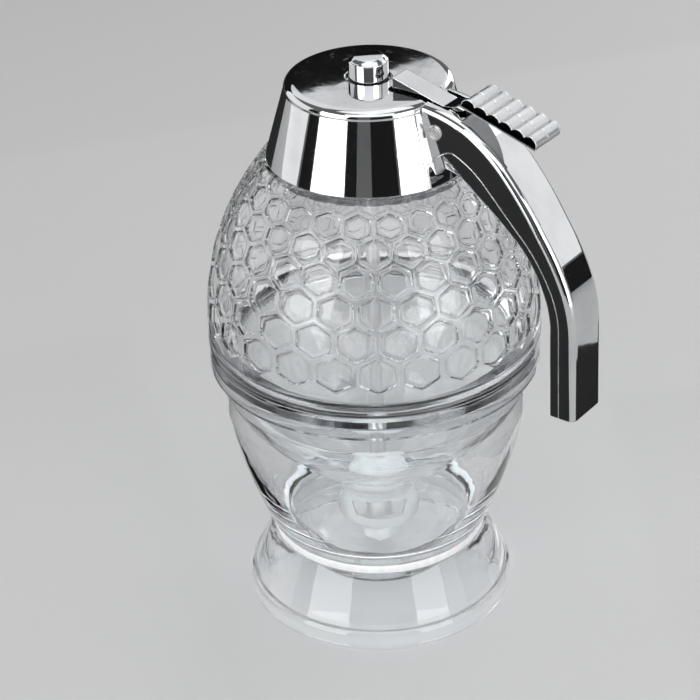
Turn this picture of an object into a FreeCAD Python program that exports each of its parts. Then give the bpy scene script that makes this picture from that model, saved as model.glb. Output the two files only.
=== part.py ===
"""Honey dispenser: a clear stand, a clear beehive jar with a bottom valve, and a chromed
screw cap that carries the handle, the thumb lever and the spring-loaded plunger.

Millimetres. +Z is up, the origin is the centre of the stand's underside, the axis of the jar
is the Z axis, the handle points along +X, and the object is symmetric about the XZ plane.
"""

import FreeCAD, Part

import os
import re

import Sketcher
from FreeCAD import Placement, Rotation, Vector

# ---------------------------------------------------------------------------
# Driving dimensions. Radii unless the name says otherwise; heights are above the table.
# ---------------------------------------------------------------------------
SIZES = {
    # the radius that the stand's lip, the jar's flange and the beehive all follow
    "jar_radius": 50.4,
    # stand, foot
    "foot_radius": 42.0,
    "foot_edge": 1.2,
    "bead_height": 7.2,
    "bead_step": 1.2,
    "waist_low": 24.1,
    "waist_band": 2.9,
    "waist_radius": 33.7,
    "foot_wall": 2.5,
    # stand, bowl
    "bowl_seat": 31.2,
    "bowl_wall": 2.4,
    "floor_low": 8.8,
    "floor_thickness": 2.4,
    "floor_radius": 17.0,
    "keel_radius": 26.9,
    "keel_height": 14.2,
    "belly_radius": 40.6,
    "belly_height": 44.3,
    "lip_high": 87.8,
    "lip_thickness": 3.8,
    "lip_proud": 0.2,
    "mouth_band": 5.6,
    "mouth_wall": 2.5,
    # jar, funnel with the outlet
    "flange_thickness": 3.9,
    "spigot_gap": 0.5,
    "spigot_depth": 11.0,
    "funnel_wall": 2.2,
    "funnel_slope": 42.0,
    "funnel_knee": 21.6,
    "funnel_bulge_radius": 35.2,
    "funnel_bulge_height": 61.8,
    "outlet_bore": 7.0,
    "outlet_seat": 38.8,
    "outlet_depth": 2.8,
    "collar_wall": 2.3,
    # outlet cage
    "cage_drop": 10.7,
    "cage_rim": 4.4,
    "cage_sleeve": 2.6,
    "cage_sleeve_wall": 1.5,
    "cage_flare": 2.2,
    "cage_wall": 1.6,
    "cage_window": 7.2,
    "cage_window_top": 8.6,
    "cage_turn": 37.5,
    # jar, beehive dome
    "base_ring_proud": 0.4,
    "base_ring_height": 3.7,
    "dome_wall": 2.8,
    "hive_proud": 0.3,
    "hive_low_mid_inset": 0.9,
    "hive_waist_inset": 4.9,
    "hive_high_mid_inset": 10.2,
    "hive_height": 56.7,
    "hive_low_mid_share": 0.3245,
    "hive_waist_share": 0.5891,
    "hive_high_mid_share": 0.8042,
    "shoulder_radius": 33.1,
    "neck_radius": 23.4,
    "neck_wall": 2.8,
    "neck_rise": 6.3,
    # jar, honeycomb: the flat bottoms of its cells lie below the crests of the net
    "comb_depth": 0.55,
    "comb_rib": 1.9,
    # gasket and threaded liner
    "gasket_thickness": 1.0,
    "gasket_band": 2.4,
    "liner_gap": 0.3,
    "liner_plate": 1.8,
    "liner_hole": 5.0,
    # cap
    "rim_gap": 0.3,
    "cap_rim_radius": 30.7,
    "cap_wall": 2.0,
    "cap_edge_radius": 24.7,
    "cap_height": 23.7,
    "cap_crown": 2.8,
    "cap_flat": 22.0,
    # handle
    "grip_width": 15.4,
    "grip_wall": 1.9,
    "grip_rounding": 2.2,
    "grip_drop": 87.1,
    "grip_tip_flare": 0.6,
    "root_x": 27.0,
    "root_drop": 16.9,
    "apron_half_angle": 20.0,
    # slot for the lever, with a narrower end under the lever's bend
    "slot_start": 9.5,
    "slot_half": 5.0,
    "slot_end": 31.0,
    "slot_corner": 2.0,
    "slot_neck_end": 36.0,
    "slot_neck_half": 4.0,
    # lever and its pin
    "pivot_x": 28.4,
    "pivot_depth": 7.4,
    "boss_radius": 3.2,
    "pin_radius": 1.5,
    "pin_gap": 0.06,
    "pin_head": 2.2,
    "pin_head_height": 0.5,
    "arm_width": 7.0,
    "arm_start": 11.0,
    "arm_clearance": 0.2,
    "arm_height": 3.5,
    "bend_x": 28.4,
    "bend_depth": 0.9,
    "pad_x": 36.2,
    "pad_rise": 1.9,
    "pad_tilt": 16.2,
    "pad_width": 12.6,
    "rib_pitch": 4.2,
    "rib_valley": 2.1,
    "rib_peak": 3.2,
    "fork_half": 5.2,
    "fork_gap": 2.9,
    "fork_reach": 3.6,
    "fork_plate": 2.0,
    "fork_clearance": 0.2,
    # plunger
    "rod_radius": 2.3,
    "knob_radius": 5.8,
    "knob_rise": 6.5,
    "knob_cover": 8.8,
    "knob_edge": 1.4,
    "knob_gap": 1.0,
    "knob_flange": 8.0,
    "knob_flange_depth": 11.5,
    "knob_flange_thickness": 1.4,
    "plug_rise": 10.2,
    "plug_top_radius": 4.3,
    "plug_radius": 9.6,
    "plug_gap": 0.1,
    "plug_socket": 6.0,
    "stem_radius": 4.2,
    "drip_tip_length": 9.1,
    "drip_tip_radius": 5.5,
    "drip_tip_low": 13.3,
    # guide bush, wiper ring, spring and its washer
    "guide_gap": 0.05,
    "guide_reach": 2.6,
    "guide_flange": 7.0,
    "guide_flange_thickness": 0.7,
    "wiper_band": 1.1,
    "wiper_height": 1.4,
    "washer_inner": 6.5,
    "washer_outer": 8.4,
    "washer_thickness": 0.4,
    "spring_wire": 0.35,
    "spring_radius": 7.2,
    "spring_turns": 3.0,
}

# Stations along the handle, from the cap to the tip: the outer face's x and its drop below the
# cap's top, the lean of its normal from +X in degrees, and how deep the seam and the inner edge
# lie below the outer face.
GRIP_STATIONS = (
    (24.0, 0.0, 90.0, 14.0, 16.0),
    (31.0, 1.0, 79.0, 12.0, 15.6),
    (38.5, 3.4, 65.0, 9.8, 15.7),
    (45.2, 7.6, 52.0, 9.2, 14.2),
    (51.2, 12.9, 45.0, 8.9, 13.5),
    (58.0, 21.1, 38.0, 8.2, 11.2),
    (64.4, 30.5, 33.0, 6.3, 8.5),
    (69.3, 38.5, 28.0, 5.6, 7.8),
    (72.7, 45.9, 20.0, 5.2, 7.8),
    (74.6, 52.9, 10.0, 5.0, 7.7),
    (75.3, 60.3, 2.0, 5.0, 7.8),
)
LAST_STATION = len(GRIP_STATIONS) - 1

# Rows of honeycomb cells from the base up: how far the crest at a row's middle lies inside the
# jar's radius, the share of the beehive's height, and the lean of the wall's normal from the
# horizontal in degrees. Every second row is turned by half a cell.
COMB_ROWS = (
    (-0.1, 0.1817, 4.4),
    (1.2, 0.351, 10.8),
    (3.3, 0.5062, 16.8),
    (6.1, 0.6481, 21.4),
    (9.4, 0.7769, 26.9),
    (13.2, 0.8942, 32.1),
)
COMB_NAMES = ("comb_inset", "comb_share", "comb_lean")
COMB_COLUMNS = 25
COMB_TURN = 5.1

STATION_NAMES = ("grip_x", "grip_fall", "grip_lean", "seam_depth", "inner_depth")

for index, station in enumerate(GRIP_STATIONS):
    for name, size in zip(STATION_NAMES, station):
        SIZES[f"{name}_{index}"] = size
for index, row in enumerate(COMB_ROWS):
    for name, size in zip(COMB_NAMES, row):
        SIZES[f"{name}_{index}"] = size

# Dimensions that follow from the driving ones. An outline may name either kind.
DERIVED = {
    "waist_high": "(waist_low + waist_band)",
    "mouth_radius": "(jar_radius - mouth_band)",
    "mouth_outer": "(mouth_radius + mouth_wall)",
    "lip_radius": "(jar_radius + lip_proud)",
    "lip_low": "(lip_high - lip_thickness)",
    "spigot_radius": "(mouth_radius - spigot_gap)",
    "spigot_low": "(lip_high - spigot_depth)",
    "flange_top": "(lip_high + flange_thickness)",
    "cone_drop": "tan(funnel_slope)",
    "wall_drop": "(funnel_wall / cos(funnel_slope))",
    "inner_knee": "(outlet_seat + (funnel_knee - funnel_wall - outlet_bore) * cone_drop)",
    "outlet_low": "(outlet_seat - outlet_depth)",
    "collar_radius": "(outlet_bore + collar_wall)",
    "cage_top_radius": "(collar_radius + cage_sleeve_wall)",
    "cage_radius": "(cage_top_radius + cage_flare)",
    "cage_low": "(outlet_low - cage_drop)",
    "base_ring_radius": "(jar_radius + base_ring_proud)",
    "base_ring_top": "(flange_top + base_ring_height)",
    "hive_base": "(jar_radius + hive_proud)",
    "hive_low_mid": "(jar_radius - hive_low_mid_inset)",
    "hive_waist": "(jar_radius - hive_waist_inset)",
    "hive_high_mid": "(jar_radius - hive_high_mid_inset)",
    "hive_low_mid_height": "(base_ring_top + hive_low_mid_share * hive_height)",
    "hive_waist_height": "(base_ring_top + hive_waist_share * hive_height)",
    "hive_high_mid_height": "(base_ring_top + hive_high_mid_share * hive_height)",
    "shoulder_height": "(base_ring_top + hive_height)",
    "neck_height": "(shoulder_height + neck_rise)",
    "liner_low": "(neck_height + gasket_thickness)",
    "liner_top": "(liner_low + liner_plate)",
    "rim": "(shoulder_height + rim_gap)",
    "cap_top": "(rim + cap_height)",
    "cap_edge_height": "(cap_top - cap_crown)",
    "cap_ceiling": "(cap_top - cap_wall)",
    "root_low": "(cap_top - root_drop)",
    "grip_tip": "(cap_top - grip_drop)",
    "pivot_z": "(cap_top - pivot_depth)",
    "arm_low": "(cap_top + arm_clearance)",
    "arm_top": "(arm_low + arm_height)",
    "bend_z": "(cap_top - bend_depth)",
    "pad_z": "(cap_top + pad_rise)",
    "knob_top": "(cap_top + knob_rise)",
    "rod_top": "(knob_top - knob_cover)",
    "knob_flange_low": "(cap_top - knob_flange_depth)",
    "knob_flange_top": "(knob_flange_low + knob_flange_thickness)",
    "fork_top": "(knob_flange_low - fork_clearance)",
    "fork_low": "(fork_top - fork_plate)",
    "plug_top": "(outlet_seat + plug_rise)",
    "stem_low": "(drip_tip_low + drip_tip_length)",
    "guide_low": "(neck_height - guide_reach)",
    "guide_top": "(liner_top + guide_flange_thickness)",
    "guide_bore": "(rod_radius + guide_gap)",
    "wiper_low": "(guide_low + 1.4)",
    "wiper_top": "(wiper_low + wiper_height)",
    "wiper_outer": "(guide_bore + wiper_band)",
}
for index in range(len(GRIP_STATIONS)):
    DERIVED[f"grip_z_{index}"] = f"(cap_top - grip_fall_{index})"
for index in range(len(COMB_ROWS)):
    DERIVED[f"comb_crest_{index}"] = f"(jar_radius - comb_inset_{index})"
    DERIVED[f"comb_radius_{index}"] = (
        f"(comb_crest_{index} - comb_depth * cos(comb_lean_{index}))")
    DERIVED[f"comb_z_{index}"] = (
        f"(base_ring_top + comb_share_{index} * hive_height"
        f" - comb_depth * sin(comb_lean_{index}))")
    DERIVED[f"comb_half_{index}"] = (
        f"(comb_crest_{index} * pi / {COMB_COLUMNS} - comb_rib / 2)")
    DERIVED[f"comb_reach_{index}"] = f"(comb_crest_{index} * 0.129 - 0.56 * comb_rib)"

PRONGS = 3
RIBS = 6

doc = FreeCAD.newDocument("honey_dispenser")
sheet = doc.addObject("Spreadsheet::Sheet", "Sizes")
for row, (alias, value) in enumerate(SIZES.items(), start=1):
    sheet.set(f"A{row}", alias)
    sheet.set(f"B{row}", str(value))
    sheet.setAlias(f"B{row}", alias)
doc.recompute()


# ---------------------------------------------------------------------------
# Helpers: expressions, outlines and features
# ---------------------------------------------------------------------------
def bound(text):
    """Return an expression that names cells of the sheet, from one with bare size names."""
    def spelled_out(word):
        """Write a size as its cell, and a derived one as what it follows from."""
        if word[0] in DERIVED:
            return bound(DERIVED[word[0]])
        return f"Sizes.{word[0]}" if word[0] in SIZES else word[0]

    return re.sub(r"[a-z][a-z_0-9]*", spelled_out, text)


def number(text):
    """Return the present value of an expression written with bare aliases."""
    value = sheet.evalExpression(bound(text))
    return float(getattr(value, "Value", value))


def new_body(node):
    """Add a body whose label is the node's name."""
    body = doc.addObject("PartDesign::Body", node)
    body.Label = node
    return body


def new_sketch(body, name, plane="XZ_Plane", lift=None):
    """Add a sketch on one of the body's own origin planes, lifted along the plane's normal."""
    sketch = body.newObject("Sketcher::SketchObject", f"{body.Label}_{name}")
    support = next(item for item in body.Origin.OriginFeatures if item.Role == plane)
    sketch.AttachmentSupport = [(support, "")]
    sketch.MapMode = "FlatFace"
    if lift is not None:
        sketch.setExpression(".AttachmentOffset.Base.z", bound(lift))
    return sketch


def pin_down(sketch, geometry, point, corner):
    """Hold one point of the sketch at a pair of expressions measured from the origin."""
    for kind, axis, text in (("DistanceX", -2, corner[0]), ("DistanceY", -1, corner[1])):
        if text == "0":
            sketch.addConstraint(Sketcher.Constraint("PointOnObject", geometry, point, axis))
            continue
        index = sketch.addConstraint(Sketcher.Constraint(kind, -1, 1, geometry, point, number(text)))
        sketch.setExpression(f"Constraints[{index}]", bound(text))


def at(corner):
    """Return the sketch point of a corner given as two expressions."""
    return Vector(number(corner[0]), number(corner[1]), 0)


def outline(sketch, corners):
    """Draw a closed outline. A corner is (x, y), or (x_mid, y_mid, x, y) at the end of an arc."""
    ends = [corner[-2:] for corner in corners]
    first = previous = None
    for index, corner in enumerate(corners):
        start = ends[index - 1]
        if len(corner) == 4:
            middle = corner[:2]
            points = [at(start), at(middle), at(corner[2:])]
            clockwise = (points[1] - points[0]).cross(points[2] - points[1]).z < 0
            geometry = sketch.addGeometry(Part.Arc(*(reversed(points) if clockwise else points)))
            head, tail = (2, 1) if clockwise else (1, 2)
            guide = sketch.addGeometry(Part.Point(at(middle)), True)
            pin_down(sketch, guide, 1, middle)
            sketch.addConstraint(Sketcher.Constraint("PointOnObject", guide, 1, geometry))
        else:
            geometry = sketch.addGeometry(Part.LineSegment(at(start), at(corner)))
            head, tail = 1, 2
        pin_down(sketch, geometry, tail, ends[index])
        if previous is None:
            first = (geometry, head)
        else:
            sketch.addConstraint(Sketcher.Constraint("Coincident", *previous, geometry, head))
        previous = (geometry, tail)
    sketch.addConstraint(Sketcher.Constraint("Coincident", *previous, *first))
    return sketch


def circle(sketch, centre, radius):
    """Draw one circle by its centre and radius."""
    geometry = sketch.addGeometry(Part.Circle(at(centre), Vector(0, 0, 1), number(radius)))
    index = sketch.addConstraint(Sketcher.Constraint("Radius", geometry, number(radius)))
    sketch.setExpression(f"Constraints[{index}]", bound(radius))
    if tuple(centre) == ("0", "0"):
        sketch.addConstraint(Sketcher.Constraint("Coincident", geometry, 3, -1, 1))
    else:
        pin_down(sketch, geometry, 3, centre)
    return sketch


def feature(body, kind, name, profile):
    """Add a sketch-based feature to the body."""
    item = body.newObject(f"PartDesign::{kind}", f"{body.Label}_{name}")
    item.Profile = profile
    return item


def turned(body, name, corners, kind="Revolution", half_angle=None):
    """Revolve an outline of radius and height pairs about the Z axis, whole or as a sector."""
    item = feature(body, kind, name, outline(new_sketch(body, f"{name}_outline"), corners))
    item.ReferenceAxis = (item.Profile[0], ["V_Axis"])
    item.Angle = 360
    if half_angle is not None:
        item.Midplane = True
        item.setExpression("Angle", bound(f"2 * {half_angle}"))
    return item


def straight(body, name, sketch, length, kind="Pad", both_sides=True, reverse=False):
    """Extrude a sketch, either to both sides of its plane or to one."""
    item = feature(body, kind, name, sketch)
    item.SideType = "Symmetric" if both_sides else "One side"
    item.Reversed = reverse
    item.setExpression("Length", bound(length))
    return item


def rounded(body, name, base, edges, radius):
    """Round the named edges of a feature."""
    item = body.newObject("PartDesign::Fillet", f"{body.Label}_{name}")
    item.Base = (base, edges)
    item.setExpression("Radius", bound(radius))
    return item


def edges_where(shape, test):
    """Return the names of the shape's edges that pass a test of the edge."""
    return [f"Edge{index}" for index, edge in enumerate(shape.Edges, start=1) if test(edge)]


def middle_of(edge):
    """Return the point halfway along an edge."""
    return edge.valueAt((edge.FirstParameter + edge.LastParameter) / 2)


def must_shrink(item, before):
    """Stop if a cut has removed nothing."""
    doc.recompute()
    if item.Shape.Volume > before - 1e-3:
        raise RuntimeError(f"{item.Name} removes nothing")


# ---------------------------------------------------------------------------
# Stand: a hollow flared foot bonded to a round bowl
# ---------------------------------------------------------------------------
def make_stand_foot():
    """The flared skirt with its thick bead, open underneath."""
    body = new_body("stand_foot")
    turned(body, "skirt", [
        ("foot_radius - foot_wall", "0"),
        ("foot_radius - foot_edge", "0"),
        ("foot_radius - 0.3 * foot_edge", "0.3 * foot_edge", "foot_radius", "foot_edge"),
        ("foot_radius", "bead_height / 2"),
        ("foot_radius - bead_step / 4", "bead_height - bead_step",
         "foot_radius - bead_step", "bead_height"),
        ("foot_radius - 1.5 * bead_step", "bead_height"),
        ("waist_radius", "waist_low"),
        ("waist_radius", "waist_high"),
        ("bowl_seat", "waist_high"),
        ("bowl_seat", "waist_low"),
        ("foot_radius - 1.5 * bead_step - foot_wall", "bead_height"),
        ("foot_radius - foot_wall", "bead_height - bead_step"),
    ])
    return body


def make_stand_bowl():
    """The bowl that the jar stands in, with its thick lip and its rounded keel."""
    body = new_body("stand_bowl")
    turned(body, "shell", [
        ("0", "floor_low"),
        ("floor_radius", "floor_low"),
        ("keel_radius", "keel_height", "bowl_seat", "waist_low"),
        ("bowl_seat", "waist_high"),
        ("waist_radius + 0.4", "waist_high"),
        ("belly_radius", "belly_height", "mouth_outer - 0.5", "lip_low - 14"),
        ("mouth_outer", "lip_low"),
        ("lip_radius", "lip_low"),
        ("lip_radius", "lip_high"),
        ("mouth_radius", "lip_high"),
        ("mouth_radius", "lip_low"),
        ("mouth_outer - 0.5 - bowl_wall", "lip_low - 14"),
        ("belly_radius - bowl_wall", "belly_height + 1", "bowl_seat - bowl_wall", "waist_high"),
        ("keel_radius - bowl_wall * 0.8", "keel_height + bowl_wall * 0.7",
         "floor_radius - 1", "floor_low + floor_thickness"),
        ("0", "floor_low + floor_thickness"),
    ])
    return body


# ---------------------------------------------------------------------------
# Jar: funnel and outlet below, beehive dome above, bonded at the flange
# ---------------------------------------------------------------------------

def cone_height(radius):
    """Return the height of the funnel's inner cone at a radius, both as expressions."""
    return f"outlet_seat + ({radius} - outlet_bore) * cone_drop"


def make_jar_funnel():
    """The jar's lower part: flange, spigot in the bowl's mouth, cone and outlet collar."""
    body = new_body("jar_funnel")
    turned(body, "shell", [
        ("outlet_bore", "outlet_low"),
        ("collar_radius", "outlet_low"),
        ("collar_radius", "outlet_low + cage_sleeve"),
        ("cage_top_radius", cone_height("cage_top_radius") + " - wall_drop"),
        ("funnel_knee", cone_height("funnel_knee") + " - wall_drop"),
        ("funnel_bulge_radius", "funnel_bulge_height", "spigot_radius", "spigot_low"),
        ("spigot_radius", "lip_high"),
        ("jar_radius", "lip_high"),
        ("jar_radius", "flange_top"),
        ("spigot_radius - funnel_wall", "flange_top"),
        ("spigot_radius - funnel_wall", "spigot_low"),
        ("funnel_bulge_radius - 0.8 * funnel_wall", "funnel_bulge_height + 0.6 * funnel_wall",
         "funnel_knee - funnel_wall", "inner_knee"),
        ("outlet_bore", "outlet_seat"),
    ])
    return body


def make_outlet_cage():
    """The open skirt on the outlet's collar: a sleeve, three prongs and a lower ring."""
    body = new_body("outlet_cage")
    turned(body, "skirt", [
        ("collar_radius", "outlet_low + cage_sleeve"),
        ("cage_top_radius", "outlet_low + cage_sleeve"),
        ("cage_top_radius", "outlet_low"),
        ("cage_radius - 0.8", "outlet_low - 2.4", "cage_radius", "cage_low + cage_rim"),
        ("cage_radius", "cage_low"),
        ("cage_radius - cage_wall", "cage_low"),
        ("cage_radius - cage_wall", "cage_low + cage_rim"),
        ("cage_radius - 0.8 - cage_wall", "outlet_low - 2.8", "collar_radius", "outlet_low"),
    ])
    doc.recompute()
    before = body.Shape.Volume
    sketch = outline(new_sketch(body, "window_outline"), [
        ("cage_window", "cage_low + cage_rim"),
        ("cage_window_top", "outlet_low - 1.6"),
        ("0", "outlet_low - 0.3", "0 - cage_window_top", "outlet_low - 1.6"),
        ("0 - cage_window", "cage_low + cage_rim"),
    ])
    window = straight(body, "window", sketch, "2 * cage_radius", kind="Pocket",
                      both_sides=False, reverse=True)
    must_shrink(window, before)
    pattern = body.newObject("PartDesign::PolarPattern", "outlet_cage_windows")
    pattern.Originals = [window]
    pattern.Axis = (sketch, ["V_Axis"])
    pattern.Angle = 360
    pattern.Occurrences = PRONGS
    body.Tip = pattern
    body.Placement = Placement(Vector(0, 0, 0), Rotation(Vector(0, 0, 1), number("cage_turn")))
    return body


def make_jar_dome():
    """The beehive dome: base ring, honeycombed wall, shoulder under the cap and open neck."""
    body = new_body("jar_dome")
    shell = turned(body, "shell", [
        ("spigot_radius - funnel_wall", "flange_top"),
        ("base_ring_radius", "flange_top"),
        ("base_ring_radius", "base_ring_top"),
        ("hive_base", "base_ring_top"),
        ("hive_low_mid", "hive_low_mid_height", "hive_waist", "hive_waist_height"),
        ("hive_high_mid", "hive_high_mid_height", "shoulder_radius", "shoulder_height"),
        ("neck_radius", "shoulder_height"),
        ("neck_radius", "neck_height"),
        ("neck_radius - neck_wall", "neck_height"),
        ("neck_radius - neck_wall", "shoulder_height - dome_wall"),
        ("shoulder_radius - 0.6 * dome_wall", "shoulder_height - dome_wall"),
        ("hive_high_mid - 0.75 * dome_wall", "hive_high_mid_height - 0.65 * dome_wall",
         "hive_waist - 0.95 * dome_wall", "hive_waist_height - 0.3 * dome_wall"),
        ("hive_low_mid - dome_wall", "hive_low_mid_height",
         "hive_base - dome_wall", "base_ring_top"),
    ])
    for row in range(len(COMB_ROWS)):
        cut_comb_row(body, row, (shell.Profile[0], ["V_Axis"]))
    body.Placement = Placement(Vector(0, 0, 0), Rotation(Vector(0, 0, 1), COMB_TURN))
    return body


def cut_comb_row(body, row, axis):
    """Sink one row of hexagonal cells round an axis into the dome, each to a flat bottom.

    The number of columns is odd, so a row that starts on the far side is turned by half a cell.
    """
    doc.recompute()
    before = body.Shape.Volume
    far = row % 2 == 1
    sketch = new_sketch(body, f"comb_outline_{row}", "YZ_Plane")
    sketch.AttachmentOffset = Placement(Vector(0, 0, 0), Rotation(
        Vector(1 if far else -1, 0, 0), number(f"comb_lean_{row}")))
    sketch.setExpression(".AttachmentOffset.Rotation.Angle", bound(f"comb_lean_{row}"))
    sketch.setExpression(".AttachmentOffset.Base.y", bound(f"comb_z_{row}"))
    sign = "-" if far else ""
    sketch.setExpression(".AttachmentOffset.Base.z", bound(f"{sign}1 * comb_radius_{row}"))
    doc.recompute()
    half, reach = f"comb_half_{row}", f"comb_reach_{row}"
    cheek = f"({reach} - 0.513 * {half})"
    outline(sketch, [
        ("0", f"0 - {reach}"),
        (half, f"0 - {cheek}"),
        (half, cheek),
        ("0", reach),
        (f"0 - {half}", cheek),
        (f"0 - {half}", f"0 - {cheek}"),
    ])
    cell = straight(body, f"comb_cell_{row}", sketch, "4 * comb_depth", kind="Pocket",
                    both_sides=False, reverse=not far)
    must_shrink(cell, before)
    pattern = body.newObject("PartDesign::PolarPattern", f"jar_dome_comb_row_{row}")
    pattern.Originals = [cell]
    pattern.Axis = axis
    pattern.Angle = 360
    pattern.Occurrences = COMB_COLUMNS
    body.Tip = pattern
    must_shrink(pattern, before)


# ---------------------------------------------------------------------------
# Cap: chromed shell with the handle, its inner cover, the threaded liner and the gasket
# ---------------------------------------------------------------------------

def cap_inside(height):
    """Return the radius of the cap's inner wall at a height, both as expressions."""
    fall = "(cap_rim_radius - cap_edge_radius) / (cap_edge_height - rim)"
    return f"cap_rim_radius - cap_wall - ({height} - rim) * {fall}"


def on_grip(index, depth="0"):
    """Return the point that lies a depth below the handle's outer face at a station."""
    lean = f"grip_lean_{index}"
    return (f"grip_x_{index} - ({depth}) * cos({lean})", f"grip_z_{index} - ({depth}) * sin({lean})")


def along_grip(depths, first, last):
    """Return arcs that pass through the stations from first to last at the given depths."""
    step = 1 if last > first else -1
    corners = []
    for index in range(first + step, last + step, 2 * step):
        corners.append(on_grip(index, depths(index)) + on_grip(index + step, depths(index + step)))
    return corners


def outer_face(index):
    """The handle's outer face lies at no depth."""
    return "0"


def seam(index):
    """Depth of the seam between the handle's shell and its inner cover."""
    return f"seam_depth_{index}"


def inner_edge(index):
    """Depth of the handle's inner edge."""
    return f"inner_depth_{index}"


def cavity_roof(index):
    """Depth of the cavity below the outer face."""
    return "grip_wall"


ROOT_START = ("root_x", "root_low")
ROOT_CREST = ("root_x + 3.4", "root_low + 3.2")


def tip_corner(depth, height="grip_tip"):
    """Return the corner at the handle's tip for a depth below the outer face."""
    return (f"grip_x_{LAST_STATION} + grip_tip_flare - ({depth})", height)


def make_cap_shell():
    """The chromed cap and the handle's outer shell in one piece, hollow below and inside."""
    body = new_body("cap_shell")
    grip_sketch = outline(new_sketch(body, "grip_outline"), [
        on_grip(0),
        *along_grip(outer_face, 0, LAST_STATION),
        tip_corner("0"),
        tip_corner(seam(LAST_STATION)),
        on_grip(LAST_STATION, seam(LAST_STATION)),
        *along_grip(seam, LAST_STATION, 2),
        ROOT_CREST + ROOT_START,
        ("grip_x_0", "root_low"),
    ])
    grip = straight(body, "grip", grip_sketch, "grip_width")
    doc.recompute()
    half = number("grip_width") / 2
    landmarks = [at(on_grip(index)) for index in range(1, LAST_STATION, 2)]
    landmarks.append((at(on_grip(LAST_STATION)) + at(tip_corner("0"))) / 2)

    def is_outer_edge(edge):
        """Tell whether an edge bounds a cheek and lies on the handle's outer face."""
        middle = middle_of(edge)
        flat = Vector(middle.x, middle.z, 0)
        near = min((flat - landmark).Length for landmark in landmarks)
        return abs(abs(middle.y) - half) < 1e-6 and near < number("grip_rounding")

    rounded(body, "grip_rounding", grip, edges_where(grip.Shape, is_outer_edge), "grip_rounding")
    doc.recompute()
    turned(body, "cone", [
        ("0", "rim"),
        ("cap_rim_radius", "rim"),
        ("cap_edge_radius", "cap_edge_height"),
        ("cap_flat + 0.7 * (cap_edge_radius - cap_flat)",
         "cap_top - 0.25 * (cap_top - cap_edge_height)",
         "cap_flat", "cap_top"),
        ("0", "cap_top"),
    ])
    doc.recompute()
    before = body.Shape.Volume
    must_shrink(turned(body, "inside", [
        ("0", "rim - 1"),
        (cap_inside("(rim - 1)"), "rim - 1"),
        (cap_inside("(cap_edge_height - 1)"), "cap_edge_height - 1"),
        ("cap_flat", "cap_ceiling"),
        ("0", "cap_ceiling"),
    ], kind="Groove"), before)

    before = body.Shape.Volume
    cavity = outline(new_sketch(body, "cavity_outline"), [
        ("grip_x_0 - 3", "cap_ceiling"),
        ("grip_x_0", "cap_ceiling"),
        *along_grip(cavity_roof, 0, LAST_STATION),
        tip_corner("grip_wall", "grip_tip + grip_wall"),
        tip_corner(f"{seam(LAST_STATION)} + 1", "grip_tip + grip_wall"),
        on_grip(LAST_STATION, f"{seam(LAST_STATION)} + 1"),
        *along_grip(lambda index: f"{seam(index)} + 1", LAST_STATION, 2),
        ("grip_x_0 - 3", "root_low - 3"),
    ])
    must_shrink(straight(body, "cavity", cavity, "grip_width - 2 * grip_wall", kind="Pocket"),
                before)

    before = body.Shape.Volume
    must_shrink(straight(body, "cover_seat", cover_outline(body), "grip_width + 0.02",
                         kind="Pocket"), before)

    before = body.Shape.Volume
    must_shrink(turned(body, "apron_gap", apron_corners(), kind="Groove",
                       half_angle="apron_half_angle"), before)

    before = body.Shape.Volume
    slot = outline(new_sketch(body, "slot_outline", "XY_Plane", "cap_top + 1"), [
        ("slot_start", "0 - slot_half + slot_corner"),
        ("slot_start + 0.3 * slot_corner", "0.3 * slot_corner - slot_half",
         "slot_start + slot_corner", "0 - slot_half"),
        ("slot_end", "0 - slot_half"),
        ("slot_end", "0 - slot_neck_half"),
        ("slot_neck_end", "0 - slot_neck_half"),
        ("slot_neck_end", "slot_neck_half"),
        ("slot_end", "slot_neck_half"),
        ("slot_end", "slot_half"),
        ("slot_start + slot_corner", "slot_half"),
        ("slot_start + 0.3 * slot_corner", "slot_half - 0.3 * slot_corner",
         "slot_start", "slot_half - slot_corner"),
    ])
    must_shrink(straight(body, "slot", slot, "cap_top - pivot_z", kind="Pocket",
                         both_sides=False), before)

    before = body.Shape.Volume
    hole = circle(new_sketch(body, "knob_hole_outline", "XY_Plane", "cap_top + 1"),
                  ("0", "0"), "knob_radius + knob_gap")
    must_shrink(straight(body, "knob_hole", hole, "cap_wall + 3", kind="Pocket",
                         both_sides=False), before)

    before = body.Shape.Volume
    bore = circle(new_sketch(body, "pin_bore_outline"), ("pivot_x", "pivot_z"), "pin_radius")
    must_shrink(straight(body, "pin_bore", bore, "2 * grip_width", kind="Pocket"), before)
    return body


def cover_outline(body):
    """Draw the side outline of the handle's inner cover, from the seam to the inner edge."""
    return outline(new_sketch(body, "cover_outline"), [
        ROOT_START,
        ROOT_CREST + on_grip(2, seam(2)),
        *along_grip(seam, 2, LAST_STATION),
        tip_corner(seam(LAST_STATION)),
        tip_corner(inner_edge(LAST_STATION)),
        on_grip(LAST_STATION, inner_edge(LAST_STATION)),
        *along_grip(inner_edge, LAST_STATION, 2),
        ("root_x + 3.6", "root_low - 1.2", "root_x + 2.2", "root_low - 3.4"),
        ("root_x + 1", "root_low - 3.4"),
    ])


def apron_corners():
    """The wall section of the cap below the handle, which belongs to the inner cover."""
    return [
        (cap_inside("rim"), "rim"),
        ("cap_rim_radius", "rim"),
        (cap_inside("root_low") + " + cap_wall", "root_low"),
        (cap_inside("root_low"), "root_low"),
    ]


def make_handle_cover():
    """The chromed insert that closes the handle's inner side and fills the cap's wall below it."""
    body = new_body("handle_cover")
    straight(body, "strip", cover_outline(body), "grip_width")
    turned(body, "apron", apron_corners(), half_angle="apron_half_angle")
    return body


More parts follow.
